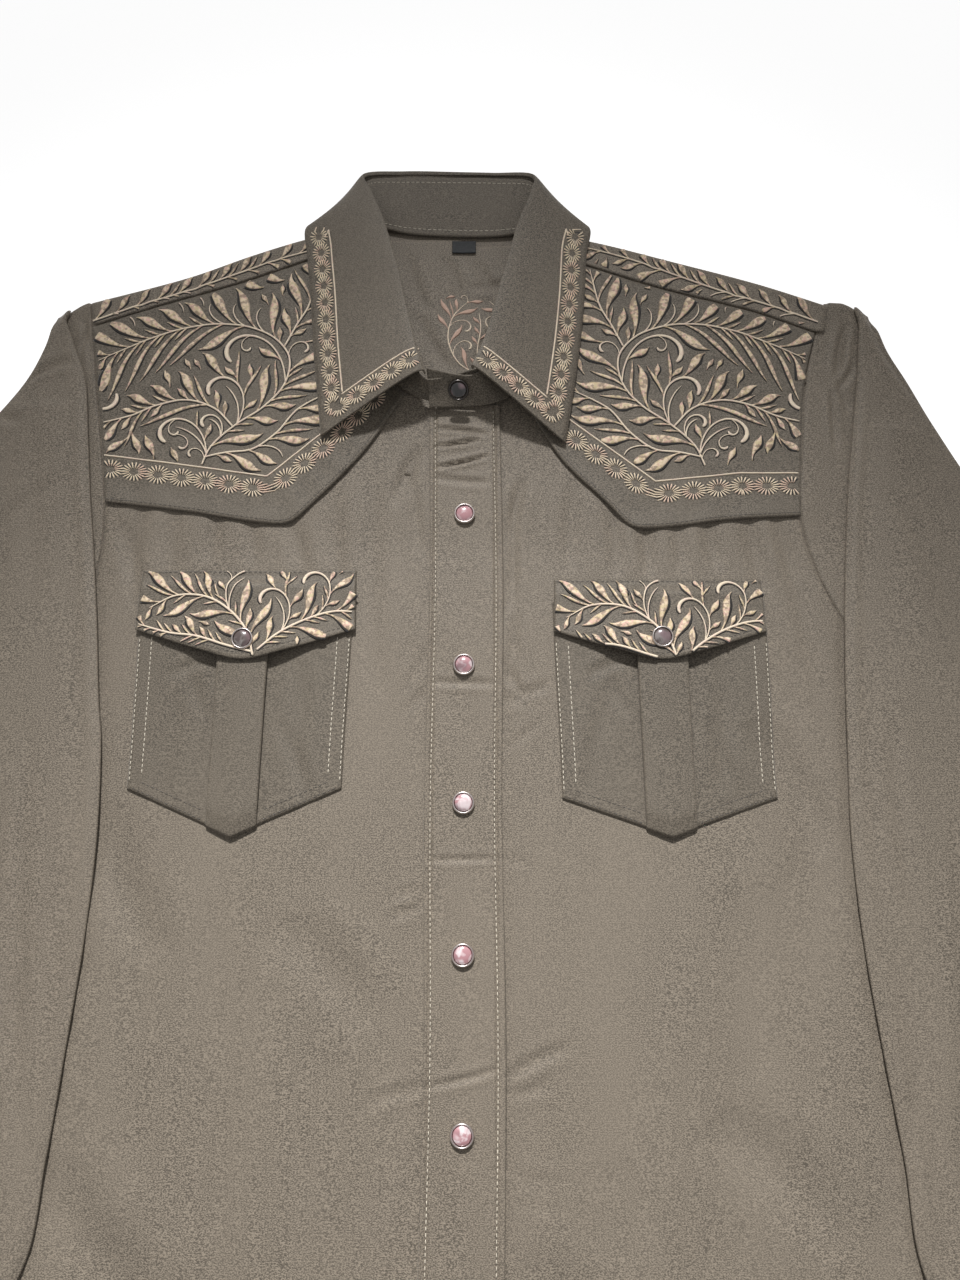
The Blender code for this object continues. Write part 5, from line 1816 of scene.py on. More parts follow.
    def drawn(self) -> list[Stroke]:
        """Stems, three orders of shoots, and the commas.

        Returns:
            All strokes.
        """
        self.spots, self.halves = np.zeros((0, 2)), np.zeros(0)
        for points in self.stems:
            line = evened(through(np.array(points) / 1000, np.linspace(0, 1, 200)), 0.0008)
            self.add(Stroke(line, profile(Kind.STEM, len(line)) * self.width / 2000, Kind.STEM))
        first = self.sprout(list(self.made), self.scrolls, 0.0125 * self.grow, 1)
        parents = [stroke for stroke in first if stroke.kind is not Kind.LEAF]
        second = self.sprout(parents, self.leaves, 0.0085 * self.grow, 2)
        parents = [stroke for stroke in second if stroke.kind in (Kind.HOOK, Kind.BLADE)]
        self.sprout(parents, self.leaves[3:], 0.0070 * self.grow, 3)
        self.sprout([self.made[k] for k in range(len(self.stems))], self.leaves[2:], 0.0060 * self.grow, 1)
        self.scatter()
        return self.made


YOKE_STEMS = (
    ((-147, 203), (-142, 215), (-129, 228), (-114, 239), (-103, 253), (-101, 270), (-111, 283), (-128, 290),
     (-148, 291), (-168, 287), (-188, 279), (-216, 265)),
    ((-131, 227), (-142, 238), (-158, 243), (-174, 240), (-190, 233), (-214, 227)),
    ((-146, 208), (-133, 211), (-119, 213), (-106, 223), (-94, 238), (-72, 250)),
    ((-104, 277), (-98, 290), (-91, 304), (-86, 328)),
    ((-222, 291), (-192, 303), (-163, 313), (-133, 325), (-108, 335), (-74, 345)),
)

FLAP_STEMS = (
    ((6, -49), (2, -36), (-8, -24), (-22, -16), (-38, -15), (-52, -22)),
    ((8, -46), (20, -36), (34, -28), (48, -24), (66, -25)),
    ((5, -47), (-10, -43), (-26, -38), (-40, -36), (-60, -30)),
)

SPRIG_STEMS = (
    ((8, 260), (-4, 268), (-10, 283), (-7, 298), (2, 308)),
    ((8, 260), (20, 268), (26, 283), (23, 298), (14, 308)),
    ((8, 262), (7, 276), (9, 290), (8, 300)),
)


def beside(stroke: Stroke) -> Stroke:
    """Narrow dark line along one side of a stroke, half under it: partly a dark outline thread, partly
    painted shadow.

    Args:
        stroke: the stroke to shade.

    Returns:
        The darker stroke.
    """
    way = unit(np.gradient(stroke.line, axis=0))
    across = pairs(way[:, 1], -way[:, 0])
    # Turned to the side that faces down the page, where a shadow from the light above falls.
    across = across * np.where(across[:, 1:] > 0.25, -1.0, 1.0)
    return Stroke(stroke.line + across * (stroke.half[:, None] * 0.75 + 0.00022), stroke.half * 0.5 + 0.00022)


def kept_inside(strokes: Sequence[Stroke], polygon: Array, least: int = 5) -> list[Stroke]:
    """Strokes cut to the longest stretch of each that lies in the polygon.

    Args:
        strokes: what to trim.
        polygon: corners of the field.
        least: fewest points that a piece may have.

    Returns:
        The pieces of strokes inside the field.
    """
    made = []
    for stroke in strokes:
        within = np.concatenate([[False], inside(polygon, stroke.line), [False]])
        turns = np.flatnonzero(np.diff(within.astype(int)))
        if len(turns) == 0:
            continue
        begins, ends = turns[::2], turns[1::2]
        k = int(np.argmax(ends - begins))
        if ends[k] - begins[k] >= least:
            part = slice(begins[k], ends[k])
            made.append(Stroke(stroke.line[part], stroke.half[part], stroke.kind))
    return made


def moved(strokes: Sequence[Stroke], flip: float, shift: Sequence[float]) -> list[Stroke]:
    """Strokes mirrored in x where flip is -1, then shifted."""
    return [Stroke(stroke.line * (flip, 1.0) + shift, stroke.half, stroke.kind) for stroke in strokes]


def ruled(points: Sequence, width: float, pitch: float = 0.0015) -> Stroke:
    """Even stroke along a line of points."""
    line = evened(np.asarray(points, float), pitch)
    return Stroke(line, np.full(len(line), width / 2))


def dashed(
    points: Sequence, pitch: float = 0.0027, share: float = 0.66, width: float = 0.00052
) -> list[Stroke]:
    """Running stitches along a line of points: each fills a share of the pitch.

    Args:
        points: bends of the row.
        pitch: distance from stitch to stitch.
        share: share of the pitch that a stitch covers.
        width: width of a stitch.

    Returns:
        The stitches.
    """
    line = evened(points, pitch / 6)
    run = walked(line)
    made = []
    for start in np.arange(0.0, run[-1] - pitch, pitch):
        at = start + pitch * share * np.linspace(0, 1, 4)
        spots = np.stack([np.interp(at, run, line[:, k]) for k in range(2)], axis=1)
        made.append(Stroke(spots, width / 2 * np.array([0.6, 1.0, 1.0, 0.6])))
    return made


def rosettes(
    line: Array, pitch: float, away: float, size: tuple[float, float], rays: int = 18, turned: float = 0.0
) -> list[Stroke]:
    """Row of stitched suns beside a line: each ray runs out from an empty oval.

    Args:
        line: the line they stand beside.
        pitch: distance from sun to sun.
        away: distance of their centres to the line's right-hand side.
        size: half width along the line and half height across it.
        rays: rays in each sun.
        turned: angle that they are all turned by.

    Returns:
        The rays, as short strokes.
    """
    fine = evened(line, 0.0005)
    run = walked(fine)
    way = unit(np.gradient(fine, axis=0))
    count = max(1, int(round(run[-1] / pitch)))
    pitch = run[-1] / count
    angle = np.arange(rays) / rays * 2 * np.pi + 0.1 + turned
    made = []
    for k in range(count):
        middle = (k + 0.5) * pitch
        for turn in angle:
            outer = min(size[0], 0.53 * pitch / max(abs(math.cos(turn)), 1e-3))
            reach = np.array([0.36 + 0.04 * math.sin(5 * turn), 0.60, 0.82, 1.0])
            u = middle + math.cos(turn) * np.minimum(reach * size[0], outer)
            d = away + math.sin(turn) * reach * size[1]
            if u.min() < 0 or u.max() > run[-1]:
                continue
            spot = np.stack([np.interp(u, run, fine[:, i]) for i in range(2)], axis=1)
            side = pairs(np.interp(u, run, way[:, 1]), -np.interp(u, run, way[:, 0]))
            made.append(Stroke(spot + side * d[:, None], np.array([0.00022, 0.00038, 0.00047, 0.00028])))
    return made


def suns_and_painted_shade(
    line: Array, pitch: float, away: float, size: tuple[float, float], rays: int = 19
) -> list[list[Stroke]]:
    """Rays of a row of suns, and dark rays between them, a little shorter, which paint the shade between the
    rays.

    Args:
        line: the line they stand beside.
        pitch: distance from sun to sun.
        away: distance from the line.
        size: a sun's half width and height.
        rays: rays in a sun.

    Returns:
        Rays of the suns, and the dark rays of painted shade between.
    """
    bright = rosettes(line, pitch, away, size, rays)
    dark = rosettes(line, pitch, away, (size[0] * 0.96, size[1] * 0.94), rays, np.pi / rays)
    return [bright, [Stroke(stroke.line, stroke.half * 0.8) for stroke in dark]]


def laid(
    name: str,
    strokes: Sequence[Stroke],
    surface: Surface,
    finish: Finish,
    height: float = 0.00034,
    turned: float = 1.0,
) -> bpy.types.Object:
    """Strokes laid on cloth as one mesh: each a low closed ridge of five points round, with an end cap.

    Args:
        name: object name.
        strokes: the strokes, on the flat.
        surface: takes points on the flat, n by 2, to points in space.
        finish: the thread.
        height: how proud the thread stands.
        turned: -1 where the flat's axes run left-handed on the cloth's face.

    Returns:
        The new object.
    """
    line = np.concatenate([stroke.line for stroke in strokes])
    half = np.concatenate([stroke.half for stroke in strokes])[:, None, None]
    sizes = np.array([len(stroke.line) for stroke in strokes])
    way = np.concatenate([unit(np.gradient(stroke.line, axis=0)) for stroke in strokes])
    run = np.concatenate([walked(stroke.line) for stroke in strokes])
    small = 1e-5
    spot = surface(line)
    east = (surface(line + np.array([small, 0.0])) - spot) / small
    north = (surface(line + np.array([0.0, small])) - spot) / small
    up = unit(np.cross(east, north)) * turned
    ahead = unit(east * way[:, :1] + north * way[:, 1:])
    across = unit(np.cross(ahead, up))
    wide = np.array([-1.0, -0.55, 0.55, 1.0, 0.0])[None, :, None]
    tall = np.array([0.0, 1.0, 1.0, 0.0, -0.5])[None, :, None] * height
    tall = tall * np.minimum(1.0, 0.35 + half / 0.0006)
    points = spot[:, None] + across[:, None] * half * wide + up[:, None] * tall
    first = np.concatenate([[0], np.cumsum(sizes)[:-1]])
    starts = np.setdiff1d(np.arange(len(line)), first + sizes - 1)
    k = np.arange(5)
    low, high = starts[:, None] * 5, (starts[:, None] + 1) * 5
    sides = np.stack([low + k, high + k, high + (k + 1) % 5, low + (k + 1) % 5], axis=-1).reshape(-1, 4)
    caps = np.concatenate([first[:, None] * 5 + k, (first + sizes - 1)[:, None] * 5 + k[::-1]])
    flat_u = (half * wide)[..., 0] * 1000
    uv = pairs(flat_u, np.broadcast_to(run[:, None] * 1000, flat_u.shape)).reshape(-1, 2)
    return put(name, points.reshape(-1, 3), [sides, caps], finish, uv)


def on_top(height: Callable[[Array, Array], Array], proud: float = 0.0) -> Surface:
    """Surface that puts flat points at the height a function of x and y gives.

    Args:
        height: heights of the cloth at x and y.
        proud: distance above it.

    Returns:
        The surface to lay strokes on.
    """

    def place(points: Array) -> Array:
        """Flat points in space."""
        return np.concatenate([points, (height(points[:, 0], points[:, 1]) + proud)[:, None]], axis=1)

    return place


def own_offset(line: Array, away: float) -> Array:
    """Line moved sideways by a distance, to its left where that is positive."""
    way = unit(np.gradient(line, axis=0))
    return line + pairs(-way[:, 1], way[:, 0]) * away


def nearer(points: Array, own: Array, other: Array) -> Array:
    """True where a point is nearer one line than another."""
    one, two = (np.linalg.norm(points[:, None] - line[None], axis=2).min(axis=1) for line in (own, other))
    return one <= two


@dataclass
class Threadwork:
    """All embroidery and stitching."""

    lay: Lay
    wardrobe: Wardrobe
    body: Body
    yokes: dict[Side, FrontYoke]
    pockets: dict[Side, ChestPocket]
    collar: Collar
    left_shift: float = -0.013
    inset: float = 0.0018
    stitch: float = 0.00020
    seam_stitch: float = 0.00022

    def foliage(self, name: str, strokes: Sequence[Stroke], surface: Surface) -> None:
        """Stems in gold, leaves in the patchy thread, and a dark line beside each: partly a dark outline
        thread, partly painted shadow.

        Args:
            name: start of the pieces' names.
            strokes: what to draw.
            surface: what it lies on.
        """
        stems = [stroke for stroke in strokes if not stroke.leafy]
        leaves = [stroke for stroke in strokes if stroke.leafy]
        # Dark line beside each stroke: partly outline thread, partly painted shadow.
        laid(f"{name}_shade", [beside(stroke) for stroke in strokes], surface, self.wardrobe.shadow, 0.00016)
        laid(f"{name}_leaves", leaves, surface, self.wardrobe.leaf, 0.00040)
        laid(f"{name}_stems", stems, surface, self.wardrobe.gold, 0.00046)

    def border_row(self, name: str, rows: dict[str, list[Stroke]], surface: Surface, line: float) -> None:
        """Suns, the dark rays of painted shade between them, and the gold line beside them.

        Args:
            name: start of the pieces' names.
            rows: strokes by kind.
            surface: what it lies on.
            line: height of the line.
        """
        laid(f"{name}_suns", rows["suns"], surface, self.wardrobe.ray, 0.00040)
        laid(f"{name}_gaps", rows["painted_shade_rays"], surface, self.wardrobe.shadow, 0.00012)
        laid(f"{name}_line", rows["line"], surface, self.wardrobe.gold, line)

    def border(self, side: Side) -> Array:
        """Gold line between the foliage and the suns, from the armhole to the collar.

        Args:
            side: the wearer's side.

        Returns:
            Bends of the line, n by 2.
        """
        points = {
            Side.RIGHT: ((203, 209.5), (150, 202.5), (110, 196.5), (79, 224), (53, 254)),
            Side.LEFT: ((188.5, 198.5), (153, 198.5), (106, 193.5), (59, 231), (44, 250)),
        }
        return on_side(side, np.array(points[side]) / MM)

    def yoke_field(self, side: Side) -> Array:
        """Corner points of the yoke's foliage: over the border, up the neck, back along the seam and down.

        Args:
            side: the wearer's side.

        Returns:
            Corners of the field, n by 2.
        """
        border = self.border(side)
        hole_y = np.linspace(0.286, border[0][1], 12)
        hole = pairs(side.value * (armhole_x(side, hole_y) - self.inset), hole_y)
        seam = on_side(side, [(x, y - self.inset) for x, y in SHOULDER_SEAM[side]])
        neck = on_side(side, [(x + 0.001, y) for x, y in NECKLINE[side][3:]])
        return np.concatenate([border + OVER_BORDER, neck, seam[::-1], hole])

    def yoke(self, side: Side, strokes: Sequence[Stroke]) -> None:
        """Foliage, suns, line and edge stitches of a front yoke.

        Args:
            side: the wearer's side.
            strokes: the foliage, untrimmed.
        """
        yoke, word, border = self.yokes[side], side.word, self.border(side)
        surface = on_top(yoke.top, OFF_CLOTH)
        self.foliage(f"yoke_{word}_foliage", kept_inside(strokes, self.yoke_field(side)), surface)
        line = evened(border, 0.001)[:: -side.value]
        suns, painted_shade_rays = suns_and_painted_shade(line, 0.0137, 0.0078, (0.0074, 0.0056))
        rows = {"suns": (suns, 4), "painted_shade_rays": (painted_shade_rays, 4), "line": ([ruled(border, 0.0010)], 5)}
        rows = {kind: kept_inside(row, yoke.outline(), least) for kind, (row, least) in rows.items()}
        self.border_row(f"yoke_{word}", rows, surface, 0.00045)
        edge = through(on_side(side, YOKE_EDGE[side]), np.linspace(0, 0.97, 160))
        inward = pairs(-np.gradient(edge[:, 1]), np.gradient(edge[:, 0]))
        edge = edge - unit(inward) * 0.0022 * side.value
        laid(f"yoke_{word}_stitches", dashed(edge), surface, self.wardrobe.tonal, self.stitch)

    def shoulder(self, side: Side, strokes: Sequence[Stroke]) -> None:
        """Foliage and stitches of the back yoke's strip over a shoulder.

        Args:
            side: the wearer's side.
            strokes: the foliage, untrimmed.
        """
        word, seam = side.word, SHOULDER_SEAM[side]
        fold = on_side(side, [(x, y - 0.0016) for x, y in SHOULDER_FOLD[side]])
        strip = np.concatenate([on_side(side, [(x, y + 0.0026) for x, y in seam]), fold[::-1]])
        over = on_top(lambda x, y: self.body.over_top(side, x, y), OFF_CLOTH)
        self.foliage(f"shoulder_{word}_foliage", kept_inside(strokes, strip), over)
        line = through(on_side(side, [(x, y + 0.0014) for x, y in seam]), np.linspace(0.01, 0.9, 80))
        laid(f"shoulder_{word}_stitches", dashed(line), over, self.wardrobe.tonal, self.stitch)

    def flap(self, side: Side, strokes: Sequence[Stroke]) -> None:
        """Foliage and stitches of a pocket's flap.

        Args:
            side: the wearer's side.
            strokes: the foliage, about the flap's top.
        """
        pocket, word = self.pockets[side], side.word
        c, top, outline = pocket.centre, pocket.flap_top, pocket.flap_outline()
        shifted = moved(strokes, 1.0, (c + (0.002 if side is Side.LEFT else 0.0), top))
        middle = np.array([c, (top + pocket.flap_tip) / 2])
        surface = on_top(pocket.flap_top_z, OFF_CLOTH)
        inner = middle + (outline - middle) * np.array([0.985, 0.965])
        self.foliage(f"flap_{word}_foliage", kept_inside(shifted, inner), surface)
        low = middle + (outline[:21] - middle) * np.array([0.90, 0.86])
        half = pocket.flap_half - 0.001
        rows = dashed(low) + dashed([(c - half, top - 0.0013), (c + half, top - 0.0013)])
        laid(f"flap_{word}_stitches", rows, surface, self.wardrobe.tonal, self.stitch)

    def pocket(self, side: Side) -> None:
        """Two rows of stitches down each side of a pocket, and two along its lower edges.

        Args:
            side: the wearer's side.
        """
        pocket, word = self.pockets[side], side.word
        surface = on_top(pocket.pocket_low, OFF_CLOTH)
        sides, lower = [], []
        for inset in (0.0009, 0.0072):
            for hand in (-1, 1):
                y = np.linspace(pocket.corner + 0.004 + inset * 0.6, pocket.top - 0.022, 60)
                sides += dashed(pairs(pocket.at_x(hand * (pocket.half - inset), y), y))
        for hand in (-1, 1):
            for up in (0.0018, 0.0066):
                away = hand * np.linspace(pocket.half - 0.001 - up, pocket.pleat_half + 0.001, 40)
                y = pocket.bottom(away) + up
                lower += dashed(pairs(pocket.centre + away / 1.0175 + pocket.lean * (y - pocket.top), y))
        laid(f"pocket_{word}_stitches", sides, surface, self.wardrobe.seam, self.seam_stitch)
        laid(f"pocket_{word}_edge", lower, surface, self.wardrobe.tonal, self.stitch)

    def body_rows(self) -> None:
        """Stitches down the placket and along the hem."""
        y = np.linspace(-0.392, 0.238, 500)
        wander = 0.0007 * np.sin((y + 0.396) / 0.637 * 17)
        rows = [row for x in self.body.welts_x for row in dashed(pairs(x * 0.985 + wander, y))]
        placket = on_top(self.body.placket_top, 0.00020)
        laid("placket_stitches", rows, placket, self.wardrobe.seam, self.seam_stitch)
        for side in Side:
            x = side.value * np.linspace(0.024, 0.246, 200)
            row = dashed(pairs(x, self.lay.hem_y(x) + 0.0078))
            surface = on_top(self.lay.front, OFF_CLOTH)
            laid(f"hem_{side.word}_stitches", row, surface, self.wardrobe.tonal, self.stitch)

    def leaf_face(self, t: Array, v: Array) -> Array:
        """Outer face of the leaf: 0.53 mm out from its middle, across its two tangents.

        Args:
            t: shares along the leaf.
            v: shares from the roll to the edge.

        Returns:
            Points in space.
        """
        along = self.collar.leaf_at(t + NUDGE, v) - self.collar.leaf_at(t - NUDGE, v)
        down = self.collar.leaf_at(t, v + NUDGE) - self.collar.leaf_at(t, v - NUDGE)
        return self.collar.leaf_at(t, v) + unit(np.cross(down, along)) * -0.00053

    def collar_side(self, side: Side) -> Surface:
        """Plan points to the leaf's outer face on one side, by Newton steps from the nearest of a grid.

        Args:
            side: the wearer's side.

        Returns:
            The surface to lay strokes on.
        """
        leaf = self.collar.leaf_at
        ends = (0.0, 0.47) if side is Side.RIGHT else (0.53, 1.0)
        t, v = np.meshgrid(np.linspace(*ends, 90), np.linspace(0.12, 1.0, 50), indexing="ij")
        t, v = t.ravel(), v.ravel()
        grid = leaf(t, v)[:, :2]

        def place(points: Array) -> Array:
            """Plan points in space.

            Args:
                points: points on the flat, n by 2.

            Returns:
                Points in space, n by 3.
            """
            nearest = np.concatenate([
                np.linalg.norm(part[:, None] - grid[None], axis=2).argmin(axis=1)
                for part in np.array_split(points, 12)
            ])
            at_t, at_v = t[nearest], v[nearest]
            for _ in range(5):
                spot = leaf(at_t, at_v)[:, :2]
                by_t = (leaf(at_t + NUDGE, at_v)[:, :2] - spot) / NUDGE
                by_v = (leaf(at_t, at_v + NUDGE)[:, :2] - spot) / NUDGE
                miss = points - spot
                area = by_t[:, 0] * by_v[:, 1] - by_t[:, 1] * by_v[:, 0]
                area = np.where(np.abs(area) < 1e-9, 1e-9, area)
                step_t = (miss[:, 0] * by_v[:, 1] - miss[:, 1] * by_v[:, 0]) / area
                step_v = (by_t[:, 0] * miss[:, 1] - by_t[:, 1] * miss[:, 0]) / area
                at_t, at_v = np.clip(at_t + step_t, 0.0, 0.9998), np.clip(at_v + step_v, 0.02, 0.9998)
            found = self.leaf_face(at_t, at_v)
            found[:, :2] += points - leaf(at_t, at_v)[:, :2]
            return found

        return place

    def collar_work(self, side: Side) -> None:
        """Suns and a line along the leaf's front and outer edges, mitred at its point.

        Args:
            side: the wearer's side.
        """
        start, end = (0.0, 0.325) if side is Side.RIGHT else (0.9998, 0.685)
        t, v = np.linspace(start, end, 200), np.linspace(0.23, 1.0, 100)
        outer = evened(self.collar.leaf_at(t, np.ones(200))[:, :2], 0.001)
        front = evened(self.collar.leaf_at(np.full(100, start), v)[:, :2], 0.001)[::-1]
        rows = {"suns": [], "painted_shade_rays": [], "line": []}
        hand = -side.value
        for own, other, turn, away in ((outer, front, -hand, 0.0086), (front, outer, hand, 0.0080)):
            pair = suns_and_painted_shade(own_offset(own, turn * away), 0.0112, 0.0, (0.0066, 0.0052), 18)
            for kind, rays in zip(("suns", "painted_shade_rays"), pair):
                rows[kind] += [ray for ray in rays if nearer(ray.line, own, other).all()]
            line = own_offset(own, turn * (away + 0.0062))
            rows["line"].append(ruled(line[nearer(line, own, other)], 0.0010, 0.001))
        self.border_row(f"collar_{side.word}", rows, self.collar_side(side), 0.0004)

    def stand_face(self, points: Array) -> Array:
        """Flat (share round, share up) to space, on the stand's inner face.

        Args:
            points: shares, n by 2.

        Returns:
            Points in space, n by 3.
        """
        t, v = points[:, 0], points[:, 1]
        along = self.collar.stand_point(t + NUDGE, v) - self.collar.stand_point(t - NUDGE, v)
        up = self.collar.stand_point(t, v + NUDGE) - self.collar.stand_point(t, v - NUDGE)
        return self.collar.stand_point(t, v) + unit(np.cross(along, up)) * 0.00062

    def stand_rows(self) -> None:
        """Two rows of stitches on the stand's inner face, which shows at the back."""
        rows = [row for v in (0.10, 0.91) for row in dashed([(0.28, v), (0.74, v)], 0.0064)]
        laid("stand_stitches", rows, self.stand_face, self.wardrobe.seam, 0.0003)

    def sprig(self) -> None:
        """Plain wreath of two sprigs in thin lines, inside the back of the neck."""
        shape = np.array([(-20, 312), (-12, 280), (4, 256), (12, 256), (26, 280), (36, 312)]) / MM
        strokes = Vine(SPRIG_STEMS, shape, 0.52, 0.0006, 0.9).drawn()
        surface = on_top(self.body.lining_top, OFF_CLOTH)
        leaves = [stroke for stroke in strokes if stroke.leafy]
        stems = [stroke for stroke in strokes if not stroke.leafy]
        laid("neck_sprig_leaves", leaves, surface, self.wardrobe.rose, 0.0003)
        laid("neck_sprig_stems", stems, surface, self.wardrobe.gold, 0.0003)

    def yoke_foliage(self) -> list[Stroke]:
        """Foliage of the right yoke and its strip over the shoulder.

        Returns:
            The strokes.
        """
        border = self.border(Side.RIGHT)[:-1] + OVER_BORDER
        collar = np.array([(-53, 256), (-60, 270), (-66, 300)]) / MM
        fold = on_side(Side.RIGHT, SHOULDER_FOLD[Side.RIGHT])[::-1]
        arm = np.array([(-224, 290), (-218, 253), (-210, 222)]) / MM
        return Vine(YOKE_STEMS, np.concatenate([border, collar, fold, arm])).drawn()

    def build(self) -> None:
        """Everything sewn on: the left yoke's foliage is the right's, mirrored."""
        right = self.yoke_foliage()
        foliage = {Side.RIGHT: right, Side.LEFT: moved(right, -1.0, (self.left_shift, 0.0))}
        corners = ((-66, 1), (66, 1), (66, -36), (30, -42.5), (6, -50), (-30, -43), (-66, -36))
        flap = Vine(FLAP_STEMS, np.array(corners) / MM, 0.8, 0.0008, 1.4).drawn()
        for side in Side:
            self.yoke(side, foliage[side])
            self.shoulder(side, foliage[side])
            self.flap(side, flap)
            self.pocket(side)
        self.body_rows()
        for side in Side:
            self.collar_work(side)
        self.stand_rows()
        self.sprig()


# Snaps and label


def lathe(profile: Sequence, steps: int, closed: bool) -> tuple[Array, list[Array]]:
    """Profile of (radius, height) turned about +Z; an open profile ends in a point on the axis at both ends.

    Args:
        profile: run down the outer side.
        steps: columns round.
        closed: True where the profile is a loop round a ring.

    Returns:
        Points and blocks of faces.
    """
    profile = np.asarray(profile, float)
    poles = [] if closed else [profile[0], profile[-1]]
    body = profile if closed else profile[1:-1]
    angle = np.arange(steps) / steps * 2 * np.pi
    ring = pairs(np.cos(angle), np.sin(angle))
    heights = np.broadcast_to(body[:, None, 1:], (len(body), steps, 1))
    points = np.concatenate([body[:, None, :1] * ring[None], heights], axis=2)
    index = np.arange(len(body) * steps).reshape(len(body), steps)
    rows = np.concatenate([index, index[:1]]) if closed else index
    ahead = np.roll(rows, -1, axis=1)
    faces = [np.stack([rows[:-1], rows[1:], ahead[1:], ahead[:-1]], axis=-1).reshape(-1, 4)]
    points = points.reshape(-1, 3)
    if not closed:
        top = len(points)
        points = np.concatenate([points, [(0, 0, poles[0][1]), (0, 0, poles[1][1])]])
        faces.append(xyz(np.full(steps, top), index[0], np.roll(index[0], -1)))
        faces.append(xyz(np.full(steps, top + 1), np.roll(index[-1], -1), index[-1]))
    return points, faces


@dataclass
class Snap:
    """Pearl snap cap: a rolled metal rim round a domed pearl."""

    name: str
    place: Array
    up: Array
    rim: Finish
    pearl: Finish
    steps: int = 56

    def frame(self) -> Array:
        """Axes of the cap, as columns, its third along up.

        Returns:
            Matrix, 3 by 3.
        """
        up = unit(np.asarray(self.up, float))
        across = unit(np.cross((0.0, 1.0, 0.0), up))
        return np.stack([across, np.cross(up, across), up], axis=1)

    def part(self, kind: str, profile: Sequence, closed: bool, finish: Finish) -> bpy.types.Object:
        """One turned part, in place.

        Args:
            kind: the part's word.
            profile: radii and heights.
            closed: True for a ring.
            finish: what it is made of.

        Returns:
            The part.
        """
        points, faces = lathe(rounded(profile, np.linspace(0, 1, 26)), self.steps, closed)
        piece = put(f"{self.name}_{kind}_cap", points @ self.frame().T + self.place, faces, finish)
        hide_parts(f"{self.name}_{kind}")
        return piece

    def build(self) -> None:
        """Rim and pearl."""
        rim = [
            (0.00570, 0.0002), (0.00580, 0.0008), (0.00575, 0.0014), (0.00545, 0.00195), (0.00515, 0.0021),
            (0.00485, 0.0019), (0.00472, 0.0015), (0.00470, 0.0008), (0.00470, 0.0002), (0.0052, 0.0001),
        ]
        pearl = [
            (0.0, 0.0026), (0.0012, 0.00256), (0.0024, 0.00238), (0.0034, 0.00205), (0.0041, 0.00165),
            (0.0044, 0.0013), (0.0044, 0.0006), (0.0040, 0.0001), (0.0020, 0.0001), (0.0, 0.0001),
        ]
        self.part("rim", rim, True, self.rim)
        self.part("pearl", pearl, False, self.pearl)


def middle_of(node: str) -> Array:
    """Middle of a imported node's footprint, at its lowest height."""
    low, high = (np.asarray(corner, float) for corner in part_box(node))
    return np.array([(low[0] + high[0]) / 2, (low[1] + high[1]) / 2, low[2]])


@dataclass
class Snaps:
    """All the shirt's snaps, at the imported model's places."""

    wardrobe: Wardrobe
    pockets: dict[Side, ChestPocket]

    def build(self) -> None:
        """Seven down the front, one on each pocket and cuff, and one at the neck with its pearl and rim
        painted dark as painted shade.
        """
        up = np.array([0.0, 0.0, 1.0])
        for index in range(1, 8):
            spot = middle_of(f"snap_front_{index}_rim")
            Snap(f"snap_front_{index}", spot, up, self.wardrobe.nickel, self.wardrobe.pearl).build()
        for side in Side:
            name = f"snap_pocket_{side.word}"
            spot = middle_of(f"{name}_rim")
            pocket = self.pockets[side]
            spot[2] = float(pocket.flap_top_z(np.array(spot[0]), np.array(spot[1]))) + 0.0001
            Snap(name, spot, up, self.wardrobe.nickel, self.wardrobe.smoked).build()
            name = f"snap_cuff_{side.word}"
            Snap(name, middle_of(f"{name}_rim"), up, self.wardrobe.nickel, self.wardrobe.pearl).build()
        over, seam = (np.array(p) / MM for p in (COLLAR_STATIONS[-1].neck, COLLAR_STATIONS[-1].top))
        out = unit(np.cross((1.0, 0.0, 0.0), seam - over))
        spot = (over + seam) / 2 + np.array([0.017, -0.0010, 0.0]) + out * (BAND / 2 + 0.0017)
        # The neck snap's dark rim and pearl are painted shade.
        Snap("snap_neck", spot, out, self.wardrobe.shaded_nickel, self.wardrobe.shaded_pearl).build()


@dataclass
class SizeLabel:
    """Small bare woven label below the back of the neck."""

    wardrobe: Wardrobe
    body: Body
    x: tuple[float, float] = (-0.008, 0.006)
    y: tuple[float, float] = (0.3395, 0.3478)

    def build(self) -> bpy.types.Object:
        """Sheet that curls a little at its free edge.

        Returns:
            The label.
        """
        x, y = np.meshgrid(np.linspace(*self.x, 24), np.linspace(*self.y, 16))
        z = self.body.lining_top(x, y) + 0.0009 + 0.0004 * ramp(y, self.y[1], self.y[0]) ** 2
        z = z - 0.0002 * np.sin((x - self.x[0]) / (self.x[1] - self.x[0]) * np.pi)
        return cloth_sheet("size_label", xyz(x, y, z), self.wardrobe.label, wall=0.0005)


# Room


